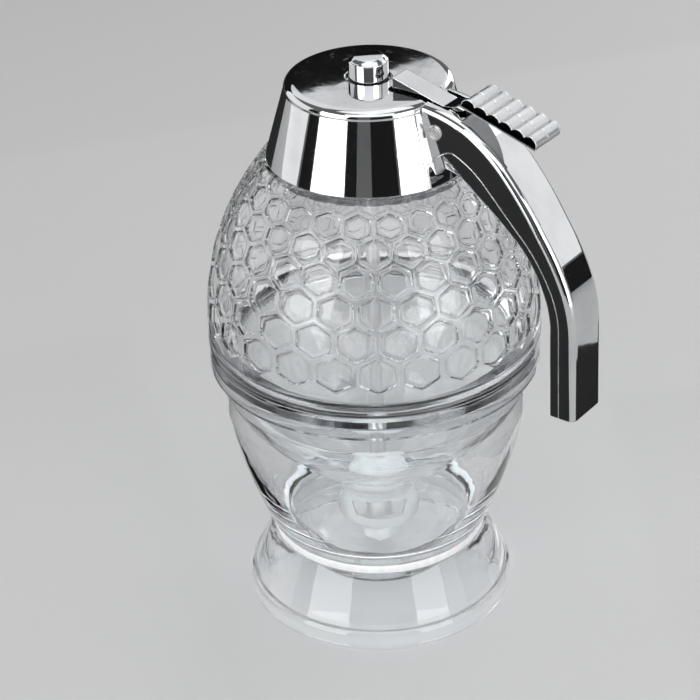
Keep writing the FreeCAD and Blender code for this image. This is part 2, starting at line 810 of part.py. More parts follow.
def make_cap_liner():
    """The plastic liner bonded in the cap: a sleeve round the neck and a plate across it."""
    body = new_body("cap_liner")
    turned(body, "sleeve", [
        ("neck_radius + liner_gap", "rim + 0.6"),
        (cap_inside("(rim + 0.6)"), "rim + 0.6"),
        (cap_inside("liner_top"), "liner_top"),
        ("liner_hole", "liner_top"),
        ("liner_hole", "liner_low"),
        ("neck_radius + liner_gap", "neck_height + gasket_thickness"),
    ])
    return body


def make_neck_gasket():
    """The flat silicone ring squeezed between the neck's rim and the liner."""
    body = new_body("neck_gasket")
    turned(body, "ring", [
        ("neck_radius - gasket_band", "neck_height"),
        ("neck_radius", "neck_height"),
        ("neck_radius", "neck_height + gasket_thickness"),
        ("neck_radius - gasket_band", "neck_height + gasket_thickness"),
    ])
    return body


# ---------------------------------------------------------------------------
# Lever with its ribbed thumb pad, and the pin it turns on
# ---------------------------------------------------------------------------
def on_pad(along, up):
    """Return the point of the thumb pad at a distance along it and above its underside."""
    return (f"pad_x + ({along}) * cos(pad_tilt) + ({up}) * sin(pad_tilt)",
            f"pad_z - ({along}) * sin(pad_tilt) + ({up}) * cos(pad_tilt)")


def make_lever():
    """The rocker: wedge arm above the cap, bend, ribbed pad, pivot boss and inner fork."""
    body = new_body("lever")
    arm = outline(new_sketch(body, "arm_outline"), [
        ("arm_start", "arm_top"),
        ("bend_x", "bend_z"),
        ("bend_x + 4.3", "bend_z + 0.9", *on_pad("0.4", "0.6")),
        on_pad("2.4", "0.3"),
        ("bend_x + 5.2", "bend_z - 0.3", "bend_x + 2.6", "bend_z - 0.8"),
        ("pivot_x + boss_radius", "pivot_z"),
        ("pivot_x + 0.5 * boss_radius", "pivot_z - 0.866 * boss_radius",
         "pivot_x - 0.5 * boss_radius", "pivot_z - 0.866 * boss_radius"),
        ("slot_start", "fork_low"),
        ("slot_start - 1", "fork_low"),
        ("slot_start - 1", "fork_top"),
        ("slot_start", "fork_top"),
        ("pivot_x - boss_radius - 1.4", "pivot_z + 1.2"),
        ("pivot_x - boss_radius - 2.4", "arm_low - 1.2"),
        ("arm_start", "arm_low"),
    ])
    straight(body, "arm", arm, "arm_width")

    corners = [on_pad("0", "0"), on_pad("0", "0.5 * rib_valley")]
    for rib in range(RIBS):
        valley = "rib_valley" if rib < RIBS - 1 else "0.5 * rib_valley"
        peak = on_pad(f"({rib} + 0.5) * rib_pitch", "rib_peak")
        corners.append(peak + on_pad(f"({rib} + 1) * rib_pitch", valley))
    corners.append(on_pad(f"{RIBS} * rib_pitch", "0"))
    straight(body, "pad", outline(new_sketch(body, "pad_outline"), corners), "pad_width")

    fork = outline(new_sketch(body, "fork_outline", "XY_Plane", "fork_low"), [
        ("0 - fork_reach", "0 - fork_half"),
        ("slot_start", "0 - fork_half"),
        ("slot_start", "fork_half"),
        ("0 - fork_reach", "fork_half"),
        ("0 - fork_reach", "fork_gap"),
        ("0", "fork_gap"),
        ("fork_gap + 0.7", "0", "0", "0 - fork_gap"),
        ("0 - fork_reach", "0 - fork_gap"),
    ])
    straight(body, "fork", fork, "fork_plate", both_sides=False)
    doc.recompute()
    before = body.Shape.Volume
    bore = circle(new_sketch(body, "pivot_bore_outline"),
                  ("pivot_x", "pivot_z"), "pin_radius + pin_gap")
    must_shrink(straight(body, "pivot_bore", bore, "2 * grip_width", kind="Pocket"), before)
    return body


def make_lever_pin():
    """The steel pin through both cheeks, with a low round head on each side."""
    body = new_body("lever_pin")
    straight(body, "shank", circle(new_sketch(body, "shank_outline"), ("pivot_x", "pivot_z"),
                                   "pin_radius"), "grip_width")
    for side, reverse in (("near", False), ("far", True)):
        lift = "grip_width / 2" if not reverse else "0 - grip_width / 2"
        head = circle(new_sketch(body, f"{side}_head_outline", "XZ_Plane", lift),
                      ("pivot_x", "pivot_z"), "pin_head")
        straight(body, f"{side}_head", head, "pin_head_height", both_sides=False, reverse=reverse)
    return body


# ---------------------------------------------------------------------------
# Plunger: knob, rod and silicone plug, with the guide, wiper, washer and return spring
# ---------------------------------------------------------------------------

def make_plunger_knob():
    """The chromed knob above the cap, with the flange that the fork lifts."""
    body = new_body("plunger_knob")
    turned(body, "turning", [
        ("rod_radius", "knob_flange_low"),
        ("knob_flange", "knob_flange_low"),
        ("knob_flange", "knob_flange_top"),
        ("knob_radius", "knob_flange_top"),
        ("knob_radius", "knob_top - knob_edge"),
        ("knob_radius - 0.3 * knob_edge", "knob_top - 0.3 * knob_edge",
         "knob_radius - knob_edge", "knob_top"),
        ("0", "knob_top"),
        ("0", "rod_top"),
        ("rod_radius", "rod_top"),
    ])
    return body


def make_plunger_rod():
    """The steel rod from the knob down into the plug."""
    body = new_body("plunger_rod")
    turned(body, "bar", [
        ("0", "plug_top - plug_socket"),
        ("rod_radius", "plug_top - plug_socket"),
        ("rod_radius", "rod_top"),
        ("0", "rod_top"),
    ])
    return body


def make_valve_plug():
    """The silicone plug: bell on the rod, cone on the outlet's seat, stem and drip tip."""
    body = new_body("valve_plug")
    seat_gap = "plug_gap / cos(funnel_slope)"
    turned(body, "moulding", [
        ("0", "drip_tip_low"),
        ("drip_tip_radius - 1.6", "drip_tip_low"),
        ("drip_tip_radius - 0.4", "drip_tip_low + 0.5", "drip_tip_radius", "drip_tip_low + 1.8"),
        ("drip_tip_radius", "stem_low - 2"),
        ("stem_radius", "stem_low"),
        ("stem_radius", cone_height("(outlet_bore - 0.9)") + f" + {seat_gap} - 0.8"),
        ("outlet_bore - 0.9", cone_height("(outlet_bore - 0.9)") + f" + {seat_gap}"),
        ("plug_radius", cone_height("plug_radius") + f" + {seat_gap}"),
        ("0.82 * plug_radius", "plug_top - 3.2", "plug_top_radius", "plug_top"),
        ("rod_radius", "plug_top"),
        ("rod_radius", "plug_top - plug_socket"),
        ("0", "plug_top - plug_socket"),
    ])
    return body


def make_rod_guide():
    """The flanged bush in the liner's plate that the rod slides through."""
    body = new_body("rod_guide")
    turned(body, "bush", [
        ("guide_bore", "guide_low"),
        ("liner_hole", "guide_low"),
        ("liner_hole", "liner_top"),
        ("guide_flange", "liner_top"),
        ("guide_flange", "guide_top"),
        ("guide_bore", "guide_top"),
        ("guide_bore", "wiper_top"),
        ("wiper_outer", "wiper_top"),
        ("wiper_outer", "wiper_low"),
        ("guide_bore", "wiper_low"),
    ])
    return body


def make_rod_wiper():
    """The silicone ring in the guide's groove that wipes the rod clean."""
    body = new_body("rod_wiper")
    turned(body, "ring", [
        ("guide_bore", "wiper_low"),
        ("wiper_outer", "wiper_low"),
        ("wiper_outer", "wiper_top"),
        ("guide_bore", "wiper_top"),
    ])
    return body


def make_spring_washer():
    """The thin steel washer between the spring and the underside of the cap's top."""
    body = new_body("spring_washer")
    turned(body, "ring", [
        ("washer_inner", "cap_ceiling - washer_thickness"),
        ("washer_outer", "cap_ceiling - washer_thickness"),
        ("washer_outer", "cap_ceiling"),
        ("washer_inner", "cap_ceiling"),
    ])
    return body


def make_return_spring():
    """The coil spring that presses the knob's flange down and so closes the plug."""
    body = new_body("return_spring")
    low = "(knob_flange_top + spring_wire)"
    high = "(cap_ceiling - washer_thickness - spring_wire)"
    sketch = circle(new_sketch(body, "wire_outline"), ("spring_radius", low), "spring_wire")
    coil = body.newObject("PartDesign::AdditiveHelix", "return_spring_coil")
    coil.Profile = sketch
    coil.ReferenceAxis = (sketch, ["V_Axis"])
    coil.Mode = "height-turns-angle"
    coil.setExpression("Height", bound(f"{high} - {low}"))
    coil.setExpression("Turns", bound("spring_turns"))
    return body


# ---------------------------------------------------------------------------
# Build, check and write
# ---------------------------------------------------------------------------
MAKERS = (
    make_stand_foot,
    make_stand_bowl,
    make_jar_funnel,
    make_outlet_cage,
    make_jar_dome,
    make_cap_shell,
    make_handle_cover,
    make_cap_liner,
    make_neck_gasket,
    make_lever,
    make_lever_pin,
    make_plunger_knob,
    make_plunger_rod,
    make_valve_plug,
    make_rod_guide,
    make_rod_wiper,
    make_spring_washer,
    make_return_spring,
)


def check(parts):
    """Stop on any failed object and on any sub-part without one or more valid solids."""
    for item in doc.Objects:
        if "Invalid" in item.State or "Error" in item.State:
            raise RuntimeError(f"{item.Name} failed: {item.State}")
    for part in parts:
        shape = part.Shape
        if shape.isNull() or not shape.isValid() or not shape.Solids:
            raise RuntimeError(f"{part.Label} has no valid solid")


def main():
    """Build every sub-part, check them all and write one STEP file for each."""
    parts = [maker() for maker in MAKERS]
    doc.recompute()
    check(parts)
    os.makedirs("parts", exist_ok=True)
    for part in parts:
        part.Shape.exportStep(os.path.join("parts", part.Label + ".step"))
        print(f"{part.Label}: {len(part.Shape.Solids)} solid, {part.Shape.Volume:.0f} mm3")


main()
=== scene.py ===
"""Honey dispenser: the looks of its clear stand, beehive jar, chromed cap, lever and plunger.

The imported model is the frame. The object's sizes are in millimetres and MM turns them into
metres; the studio's are in metres. +Z is up, the jar's axis is the Z axis, the handle points
along +X, and the foot stands on Z = 0.
"""

from __future__ import annotations

import logging
import math
from bisect import bisect_left
from dataclasses import dataclass, field
from enum import Enum
from typing import Callable, Sequence

import bmesh
import bpy
from mathutils import Euler, Matrix, Vector

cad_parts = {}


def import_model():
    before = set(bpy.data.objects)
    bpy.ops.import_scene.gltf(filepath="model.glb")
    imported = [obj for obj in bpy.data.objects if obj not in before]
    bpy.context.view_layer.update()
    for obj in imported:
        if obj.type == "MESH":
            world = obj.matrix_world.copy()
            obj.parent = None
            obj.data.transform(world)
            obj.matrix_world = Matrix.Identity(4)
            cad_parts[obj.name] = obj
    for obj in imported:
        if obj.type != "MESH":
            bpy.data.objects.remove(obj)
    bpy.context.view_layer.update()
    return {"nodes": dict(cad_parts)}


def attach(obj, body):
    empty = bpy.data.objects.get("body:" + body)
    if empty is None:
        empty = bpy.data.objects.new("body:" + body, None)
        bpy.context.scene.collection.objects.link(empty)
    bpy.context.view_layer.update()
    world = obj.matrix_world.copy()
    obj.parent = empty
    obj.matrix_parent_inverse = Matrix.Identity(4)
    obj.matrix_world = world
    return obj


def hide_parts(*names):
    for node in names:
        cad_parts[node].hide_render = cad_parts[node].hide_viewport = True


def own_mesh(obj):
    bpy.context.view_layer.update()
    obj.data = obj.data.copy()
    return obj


log = logging.getLogger("honey_dispenser")

Piece = bpy.types.Object
Material = bpy.types.Material
Node = bpy.types.Node
Socket = bpy.types.NodeSocket
Point = tuple[float, float]
Station = tuple[float, ...]
Values = tuple[float, ...]
Triple = tuple[float, float, float]
Colour = Triple

MM = 0.001
TURN = 2.0 * math.pi
DOUBLES = 2e-6  # metres within which two corners of a drawn outline are one
AIR = 0.04  # the gap that is left between two built pieces that touch on the object


class Slot(Enum):
    """The record's material slots."""

    ACRYLIC = "clear_acrylic"
    CHROME = "plated_chrome"
    STEEL = "plain_steel"


class Body(Enum):
    """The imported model's bodies that the built pieces move with."""

    STAND = "stand"
    JAR = "jar"
    CAP = "cap"
    LEVER = "lever"
    PLUNGER = "plunger"


class Element(Enum):
    """The kinds of mesh element that are picked in edit mode."""

    POINT = "VERT"
    EDGE = "EDGE"
    FACE = "FACE"


# ---------------------------------------------------------------------------
# Bench: the modelling steps that the sub-assemblies share
# ---------------------------------------------------------------------------
def put_down() -> None:
    """Leave edit mode and deselect every object."""
    if bpy.context.object is not None and bpy.context.object.mode != "OBJECT":
        bpy.ops.object.mode_set(mode="OBJECT")
    bpy.ops.object.select_all(action="DESELECT")


def pick_up(piece: Piece) -> None:
    """Make one piece the only selected and the active object.

    Args:
        piece: The piece.
    """
    put_down()
    piece.select_set(True)
    bpy.context.view_layer.objects.active = piece


def take_all() -> None:
    """Select the whole of the open mesh."""
    bpy.ops.mesh.select_all(action="SELECT")


def open_mesh(piece: Piece, kind: Element = Element.POINT) -> None:
    """Enter edit mode on a piece with all of it selected.

    Args:
        piece: The piece to edit.
        kind: The kind of element to select.
    """
    pick_up(piece)
    bpy.ops.object.mode_set(mode="EDIT")
    bpy.ops.mesh.select_mode(type=kind.value)
    take_all()


def close_mesh() -> None:
    """Return to object mode."""
    bpy.ops.object.mode_set(mode="OBJECT")


def face_out() -> None:
    """Point every face of the open mesh outwards and return to object mode."""
    take_all()
    bpy.ops.mesh.normals_make_consistent(inside=False)
    close_mesh()


def named(name: str) -> Piece:
    """Name the primitive that was just added, and its mesh.

    Args:
        name: The piece's name.

    Returns:
        The piece.
    """
    piece = bpy.context.object
    piece.name = name
    piece.data.name = name
    return piece


def choose(piece: Piece, kind: Element, test: Callable[[object], bool]) -> None:
    """Select the elements of the open mesh that pass a test, and nothing else.

    Args:
        piece: The piece, in edit mode.
        kind: The kind of element.
        test: Tells whether an element of the mesh is wanted.
    """
    bpy.ops.mesh.select_mode(type=kind.value)
    bpy.ops.mesh.select_all(action="DESELECT")
    shape = bmesh.from_edit_mesh(piece.data)
    for element in shape.faces if kind is Element.FACE else shape.edges:
        if test(element):
            element.select_set(True)
    shape.select_flush_mode()
    bmesh.update_edit_mesh(piece.data)


def arc(start: Point, middle: Point, end: Point, steps: int) -> list[Point]:
    """Divide the arc through three points.

    Args:
        start: Where the arc starts; it isn't in the result.
        middle: A point on the arc.
        end: Where the arc ends.
        steps: The number of points after the start.

    Returns:
        The points after the start, up to the end.
    """
    (ax, ay), (bx, by), (cx, cy) = start, middle, end
    whole = 2 * (ax * (by - cy) + bx * (cy - ay) + cx * (ay - by))
    a2, b2, c2 = ax * ax + ay * ay, bx * bx + by * by, cx * cx + cy * cy
    ux = (a2 * (by - cy) + b2 * (cy - ay) + c2 * (ay - by)) / whole
    uy = (a2 * (cx - bx) + b2 * (ax - cx) + c2 * (bx - ax)) / whole
    radius = math.hypot(ax - ux, ay - uy)
    first = math.atan2(ay - uy, ax - ux)
    sweep = (math.atan2(cy - uy, cx - ux) - first) % TURN
    if (math.atan2(by - uy, bx - ux) - first) % TURN > sweep:
        sweep -= TURN
    return [
        (ux + radius * math.cos(first + sweep * k / steps),
         uy + radius * math.sin(first + sweep * k / steps))
        for k in range(1, steps + 1)
    ]


def path(*stations: Station, steps: int = 10) -> list[Point]:
    """Join stations into a line of points.

    Args:
        stations: (r, z) for a straight run, or (r_mid, z_mid, r, z) at the end of an arc.
        steps: The number of points on each arc.

    Returns:
        The line's points.
    """
    points: list[Point] = []
    for station in stations:
        if len(station) == 4:
            points += arc(points[-1], tuple(station[:2]), tuple(station[2:]), steps)
        else:
            points.append((station[0], station[1]))
    return points


def drawn(name: str, outline: Sequence[Point], y: float) -> Piece:
    """Draw a closed line of edges in an upright plane.

    Args:
        name: The piece's name.
        outline: X and Z of each corner, in millimetres.
        y: The plane's Y, in millimetres.

    Returns:
        The piece, in edit mode with all of it selected.
    """
    put_down()
    bpy.ops.mesh.primitive_plane_add(size=MM)
    piece = named(name)
    open_mesh(piece)
    bpy.ops.mesh.merge(type="CENTER")
    here = outline[0]
    bpy.ops.transform.translate(value=(here[0] * MM, y * MM, here[1] * MM))
    for there in [*outline[1:], outline[0]]:
        step = ((there[0] - here[0]) * MM, 0, (there[1] - here[1]) * MM)
        bpy.ops.mesh.extrude_vertices_move(TRANSFORM_OT_translate={"value": step})
        here = there
    take_all()
    return piece


def turned(name: str, outline: Sequence[Point], steps: int = 128) -> Piece:
    """Turn a closed outline about the Z axis, as on a lathe.

    Args:
        name: The piece's name.
        outline: Radius and height of each corner, in millimetres, in order round the section.
        steps: The number of segments round the axis.

    Returns:
        The turned piece, closed and with its faces pointing outwards.
    """
    piece = drawn(name, outline, 0.0)
    bpy.ops.mesh.spin(steps=steps, angle=TURN, center=(0, 0, 0), axis=(0, 0, 1))
    take_all()
    bpy.ops.mesh.remove_doubles(threshold=DOUBLES)
    bpy.ops.mesh.delete_loose(use_verts=True, use_edges=True, use_faces=False)
    face_out()
    return piece


def plate(name: str, outline: Sequence[Point], low: float, high: float) -> Piece:
    """Cut a plate to a side outline.

    Args:
        name: The piece's name.
        outline: X and Z of each corner, in millimetres, in order round the plate.
        low: The Y of its near face, in millimetres.
        high: The Y of its far face, in millimetres.

    Returns:
        The closed plate.
    """
    piece = drawn(name, outline, low)
    bpy.ops.mesh.remove_doubles(threshold=DOUBLES)
    bpy.ops.mesh.edge_face_add()
    bpy.ops.mesh.extrude_region_move(
        TRANSFORM_OT_translate={"value": (0, (high - low) * MM, 0)})
    face_out()
    return piece


def follow(stations: Sequence[Point], here: Point) -> None:
    """Draw the selected ring of edges along a line of radii and heights.

    Args:
        stations: Radius and height of each ring to come, in millimetres.
        here: The radius and height of the selected ring.
    """
    for radius, height in stations:
        rise = (0, 0, (height - here[1]) * MM)
        bpy.ops.mesh.extrude_edges_move(TRANSFORM_OT_translate={"value": rise})
        share = radius / here[0]
        bpy.ops.transform.resize(value=(share, share, 1), center_override=(0, 0, height * MM))
        here = (radius, height)


def add_modifier(piece: Piece, kind: str, **settings: object) -> None:
    """Add a modifier to a piece and apply it.

    Args:
        piece: The piece.
        kind: The modifier's type.
        settings: Its settings by name.
    """
    pick_up(piece)
    modifier = piece.modifiers.new(kind.title(), kind)
    for key, value in settings.items():
        setattr(modifier, key, value)
    bpy.ops.object.modifier_apply(modifier=modifier.name)


def repeat(piece: Piece, count: int, step: Point) -> None:
    """Repeat a flat piece in a row.

    Args:
        piece: The piece.
        count: How often it is there afterwards.
        step: X and Y from one to the next, in millimetres.
    """
    add_modifier(piece, "ARRAY", count=count, use_relative_offset=False,
                 use_constant_offset=True,
                 constant_offset_displace=(step[0] * MM, step[1] * MM, 0))


def soften(piece: Piece, width: float, angle: float = 32.0) -> None:
    """Round the piece's sharp edges.

    Args:
        piece: The piece.
        width: How far the rounding reaches from the edge, in millimetres.
        angle: The least angle between two faces that is rounded, in degrees.
    """
    add_modifier(piece, "BEVEL", width=width * MM, segments=2, limit_method="ANGLE",
                 angle_limit=math.radians(angle), use_clamp_overlap=True)


def smooth(piece: Piece, angle: float = 35.0) -> None:
    """Shade a piece smooth across edges that are less sharp than an angle in degrees."""
    pick_up(piece)
    bpy.ops.object.shade_smooth_by_angle(angle=math.radians(angle))


def hand_over(piece: Piece, body: Body, slot: Slot, finish: Material, *nodes: str) -> None:
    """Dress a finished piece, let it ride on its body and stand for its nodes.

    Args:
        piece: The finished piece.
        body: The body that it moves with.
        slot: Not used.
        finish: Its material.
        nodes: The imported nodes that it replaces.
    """
    dress(piece, finish)
    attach(piece, body.value)
    if nodes:
        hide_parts(*nodes)
    log.info("%s: %d faces, rides on %s", piece.name, len(piece.data.polygons), body.value)


def dress(piece: Piece, finish: Material) -> None:
    """Give a piece one material in place of what it has."""
    piece.data.materials.clear()
    piece.data.materials.append(finish)


# ---------------------------------------------------------------------------
# Finishes
# ---------------------------------------------------------------------------
class Nodes:
    """A small helper that adds and joins the nodes of one tree."""

    def __init__(self, tree: bpy.types.NodeTree) -> None:
        """Start with an empty tree."""
        self.tree = tree
        tree.nodes.clear()

    def new(self, kind: str) -> Node:
        """Add a node by its type without the ShaderNode prefix."""
        return self.tree.nodes.new(f"ShaderNode{kind}")

    def put(self, socket: Socket, value: object) -> None:
        """Set a socket, with an opaque colour where it takes one, or link another to it.

        Args:
            socket: The socket to set.
            value: A number, a colour or a place, or the socket to link.
        """
        if isinstance(value, Socket):
            self.tree.links.new(value, socket)
        else:
            socket.default_value = (*value, 1) if socket.type == "RGBA" else value

    def add(self, kind: str, **inputs: object) -> Node:
        """Add a node, with values or links for its inputs by name.

        Args:
            kind: The node's type without the ShaderNode prefix.
            inputs: Values by input name with _ for a space, or sockets to link.

        Returns:
            The node.
        """
        node = self.new(kind)
        for key, value in inputs.items():
            self.put(node.inputs[key.replace("_", " ")], value)
        return node

    def maths(self, operation: str, *values: object) -> Socket:
        """Add a Math node.

        Args:
            operation: The node's operation.
            values: Numbers or sockets, in the order of its inputs.

        Returns:
            Its result.
        """
        node = self.new("Math")
        node.operation = operation
        for socket, value in zip(node.inputs, values):
            self.put(socket, value)
        return node.outputs[0]

    def pile(self, start: object, *layers: tuple[Socket, float]) -> Socket:
        """Add masks to a value.

        Args:
            start: The value below them, or a socket.
            layers: Each mask with the amount that it adds where it is full.

        Returns:
            The sum.
        """
        for mask, amount in layers:
            start = self.maths("MULTIPLY_ADD", mask, amount, start)
        return start

    def noise(self, place: Socket, scale: object, detail: float, roughness: float = 0.55,
              stretch: Sequence[float] | None = None) -> Socket:
        """Add a noise texture.

        Args:
            place: The coordinates.
            scale: How many patches there are in a metre.
            detail: The number of finer layers.
            roughness: How strong each finer layer is.
            stretch: The scale on each axis, where it isn't the same on all three.

        Returns:
            The texture's value.
        """
        if stretch is not None:
            place = self.add("Mapping", Vector=place, Scale=stretch).outputs[0]
        return self.add("TexNoise", Vector=place, Scale=scale, Detail=detail,
                        Roughness=roughness).outputs[0]

    def spread(self, value: Socket, low: float, high: float, start: float = 0.0,
               end: float = 1.0) -> Socket:
        """Map the range from low to high onto the range from start to end."""
        return self.add("MapRange", Value=value, From_Min=low, From_Max=high, To_Min=start,
                        To_Max=end).outputs[0]

    def blend(self, share: Socket, low: Colour | Socket, high: Colour | Socket) -> Socket:
        """Mix two colours.

        Args:
            share: The share of the second one.
            low: The first colour.
            high: The second colour.

        Returns:
            The mixed colour.
        """
        node = self.new("Mix")
        node.data_type = "RGBA"
        for index, value in zip((0, 6, 7), (share, low, high)):
            self.put(node.inputs[index], value)
        return node.outputs[2]

    def own_place(self) -> Socket:
        """Return the piece's own coordinates, in metres."""
        return self.add("TexCoord").outputs["Object"]


class Effect:
    """A shader group that several finishes use, each with its own values."""

    name = "effect"
    inputs: tuple[str, ...] = ()
    outputs: dict[str, str] = {}

    def draw(self, nodes: Nodes, given: Node) -> dict[str, Socket]:
        """Lay out the group's nodes.

        Args:
            nodes: The group's helper.
            given: The group's input node.

        Returns:
            What feeds each output, by its name.
        """
        raise NotImplementedError

    def set_up(self) -> None:
        """Build the group: its sockets, and the nodes between them."""
        nodes = Nodes(bpy.data.node_groups.new(self.name, "ShaderNodeTree"))
        sockets = nodes.tree.interface
        for label in self.inputs:
            sockets.new_socket(name=label, in_out="INPUT", socket_type="NodeSocketFloat")
        for label, kind in self.outputs.items():
            sockets.new_socket(name=label, in_out="OUTPUT", socket_type=f"NodeSocket{kind}")
        result = self.draw(nodes, nodes.tree.nodes.new("NodeGroupInput"))
        end = nodes.tree.nodes.new("NodeGroupOutput")
        for label, socket in result.items():
            nodes.put(end.inputs[label], socket)

    def use(self, nodes: Nodes, *values: float) -> Node:
        """Place the group in a material.

        Args:
            nodes: The material's helper.
            values: The value of each input, in order.

        Returns:
            The group's node.
        """
        if self.name not in bpy.data.node_groups:
            self.set_up()
        node = nodes.new("Group")
        node.node_tree = bpy.data.node_groups[self.name]
        for socket, value in zip(node.inputs, values):
            nodes.put(socket, value)
        return node


class HandlingMarks(Effect):
    """Finger smudges in soft patches, and fine scuffs that cross them."""

    name = "handling_marks"
    inputs = ("Smudge Scale", "Scuff Scale")
    outputs = {"Smudge": "Float", "Scuff": "Float"}

    def draw(self, nodes: Nodes, given: Node) -> dict[str, Socket]:
        """Lay out the soft patches and two sets of crossing scuffs.

        Args:
            nodes: The group's helper.
            given: The group's input node.

        Returns:
            What feeds each output, by its name.
        """
        place = nodes.own_place()
        patches = nodes.noise(place, given.outputs["Smudge Scale"], 4.0, 0.6)
        fine = given.outputs["Scuff Scale"]
        long_way = nodes.noise(place, fine, 2.0, stretch=(1.0, 0.12, 0.4))
        cross_way = nodes.noise(place, fine, 2.0, stretch=(0.15, 1.0, 0.7))
        scuffs = nodes.maths("MAXIMUM", nodes.spread(long_way, 0.66, 0.74),
                             nodes.spread(cross_way, 0.67, 0.75))
        return {"Smudge": nodes.spread(patches, 0.42, 0.72), "Scuff": scuffs}


class MouldedSkin(Effect):
    """The skin of a moulding: slow ripples, flow clouds and a fine grain."""

    name = "moulded_skin"
    inputs = ("Ripple Scale", "Grain Scale", "Grain Share")
    outputs = {"Height": "Float", "Cloud": "Float"}

    def draw(self, nodes: Nodes, given: Node) -> dict[str, Socket]:
        """Lay out the ripples, the flow clouds and the grain.

        Args:
            nodes: The group's helper.
            given: The group's input node.

        Returns:
            What feeds each output, by its name.
        """
        place = nodes.own_place()
        coarse, fine, share = (given.outputs[label] for label in self.inputs)
        ripple = nodes.noise(place, coarse, 2.0, 0.45)
        grain = nodes.noise(place, fine, 3.0, 0.6)
        swirl = nodes.noise(place, coarse, 4.0, 0.6, stretch=(1.0, 1.0, 0.35))
        height = nodes.maths("ADD", ripple, nodes.maths("MULTIPLY", grain, share))
        return {"Height": height, "Cloud": nodes.spread(swirl, 0.35, 0.7)}


class EdgeWear(Effect):
    """Edges that look rounded, with a broken mask of where they are rubbed."""

    name = "edge_wear"
    inputs = ("Radius", "Breakup Scale")
    outputs = {"Edge": "Float", "Normal": "Vector"}

    def draw(self, nodes: Nodes, given: Node) -> dict[str, Socket]:
        """Compare the rounded direction with the flat one and break up the difference.

        Args:
            nodes: The group's helper.
            given: The group's input node.

        Returns:
            What feeds each output, by its name.
        """
        rounded = nodes.add("Bevel", Radius=given.outputs["Radius"])
        rounded.samples = 6
        lean = nodes.new("VectorMath")
        lean.operation = "DOT_PRODUCT"
        nodes.put(lean.inputs[0], rounded.outputs[0])
        nodes.put(lean.inputs[1], nodes.add("NewGeometry").outputs["Normal"])
        patches = nodes.noise(nodes.own_place(), given.outputs["Breakup Scale"], 4.0, 0.65)
        edge = nodes.spread(lean.outputs["Value"], 0.985, 0.86)
        mask = nodes.maths("MULTIPLY", edge, nodes.spread(patches, 0.42, 0.6))
        return {"Edge": mask, "Normal": rounded.outputs[0]}


class Finish:
    """What the finishes share: the scales of their effects, per metre, and their making.

    marks holds the scales of the smudges and of the scuffs, skin those of the ripples and of
    the grain with the grain's share, and wear the radius of worn edges and the breakup's scale.
    """

    name: str
    marks: Values
    skin: Values
    wear: Values

    def surface(self, nodes: Nodes) -> Node:
        """Lay out the surface's nodes.

        Args:
            nodes: The material's helper.

        Returns:
            The node that gives the surface's shader.
        """
        raise NotImplementedError

    def material(self) -> Material:
        """Build the material.

        Returns:
            The material, with its surface joined to its output.
        """
        material = bpy.data.materials.new(self.name)
        material.use_nodes = True
        nodes = Nodes(material.node_tree)
        nodes.add("OutputMaterial", Surface=self.surface(nodes).outputs[0])
        return material

    def handled(self, nodes: Nodes) -> tuple[Socket, Socket]:
        """Place the handling marks and return their smudges and their scuffs."""
        group = HandlingMarks().use(nodes, *self.marks)
        return group.outputs["Smudge"], group.outputs["Scuff"]

    def moulded(self, nodes: Nodes) -> tuple[Socket, Socket]:
        """Place the moulded skin and return its height and its clouds."""
        group = MouldedSkin().use(nodes, *self.skin)
        return group.outputs["Height"], group.outputs["Cloud"]

    def worn(self, nodes: Nodes) -> tuple[Socket, Socket]:
        """Place the edge wear and return its mask and its rounded direction."""
        group = EdgeWear().use(nodes, *self.wear)
        return group.outputs["Edge"], group.outputs["Normal"]


@dataclass(frozen=True)
class Matt(Finish):
    """A plain matt surface, for the floor and the cards."""

    name: str
    grey: float
    roughness: float = 1.0

    def surface(self, nodes: Nodes) -> Node:
        """Lay out the even grey.

        Args:
            nodes: The material's helper.

        Returns:
            The node that gives the surface's shader.
        """
        return nodes.add("BsdfPrincipled", Base_Color=(self.grey,) * 3,
                         Roughness=self.roughness)


@dataclass(frozen=True)
class ClearAcrylic(Finish):
    """Clear moulded acrylic: faint flow clouds, slow ripples, smudges and hairline scuffs."""

    name: str = "clear_acrylic"
    marks: Values = (55.0, 1500.0)
    skin: Values = (70.0, 900.0, 0.012)
    clear: Colour = (0.98, 0.986, 0.99)
    clouded: Colour = (0.93, 0.945, 0.955)
    # painted shade: the grey that the wall is given at its sharp bends, the comb's ridges and
    # creases
    crease_shade: Colour = (0.5, 0.52, 0.54)
    shadow: Colour = (0.96, 0.968, 0.975)
    # how sharp a bend must be before the painted crease shade starts, and where it is full
    crease_shade_span: Values = (0.01, 0.055)
    index: float = 1.49
    ripple_height: float = 0.00035

    def surface(self, nodes: Nodes) -> Node:
        """Lay out the clear wall, its creases greyed as painted shade, and the light that it lets
        through.

        Args:
            nodes: The material's helper.

        Returns:
            The node that gives the surface's shader.
        """
        smudge, scuff = self.handled(nodes)
        height, cloud = self.moulded(nodes)
        # Painted shade: where the wall bends sharply, at the comb's ridges and creases, its colour
        # is greyed towards the crease shade; the same places are also made rougher.
        bend = nodes.maths("SUBTRACT", nodes.add("NewGeometry").outputs["Pointiness"], 0.5)
        crease_shade = nodes.spread(nodes.maths("ABSOLUTE", bend), *self.crease_shade_span)
        body = nodes.blend(cloud, self.clear, self.clouded)
        bump = nodes.add("Bump", Strength=0.5, Distance=self.ripple_height, Height=height)
        wall = nodes.add(
            "BsdfPrincipled", IOR=self.index, Transmission_Weight=1.0,
            Roughness=nodes.pile(0.0, (scuff, 0.07), (smudge, 0.012), (crease_shade, 0.1)),
            Base_Color=nodes.blend(crease_shade, body, self.crease_shade), Normal=bump.outputs[0])
        veil = nodes.add("BsdfTransparent", Color=self.shadow)
        mix = nodes.add("MixShader", Fac=nodes.add("LightPath").outputs["Is Shadow Ray"])
        nodes.put(mix.inputs[1], wall.outputs[0])
        nodes.put(mix.inputs[2], veil.outputs[0])
        return mix


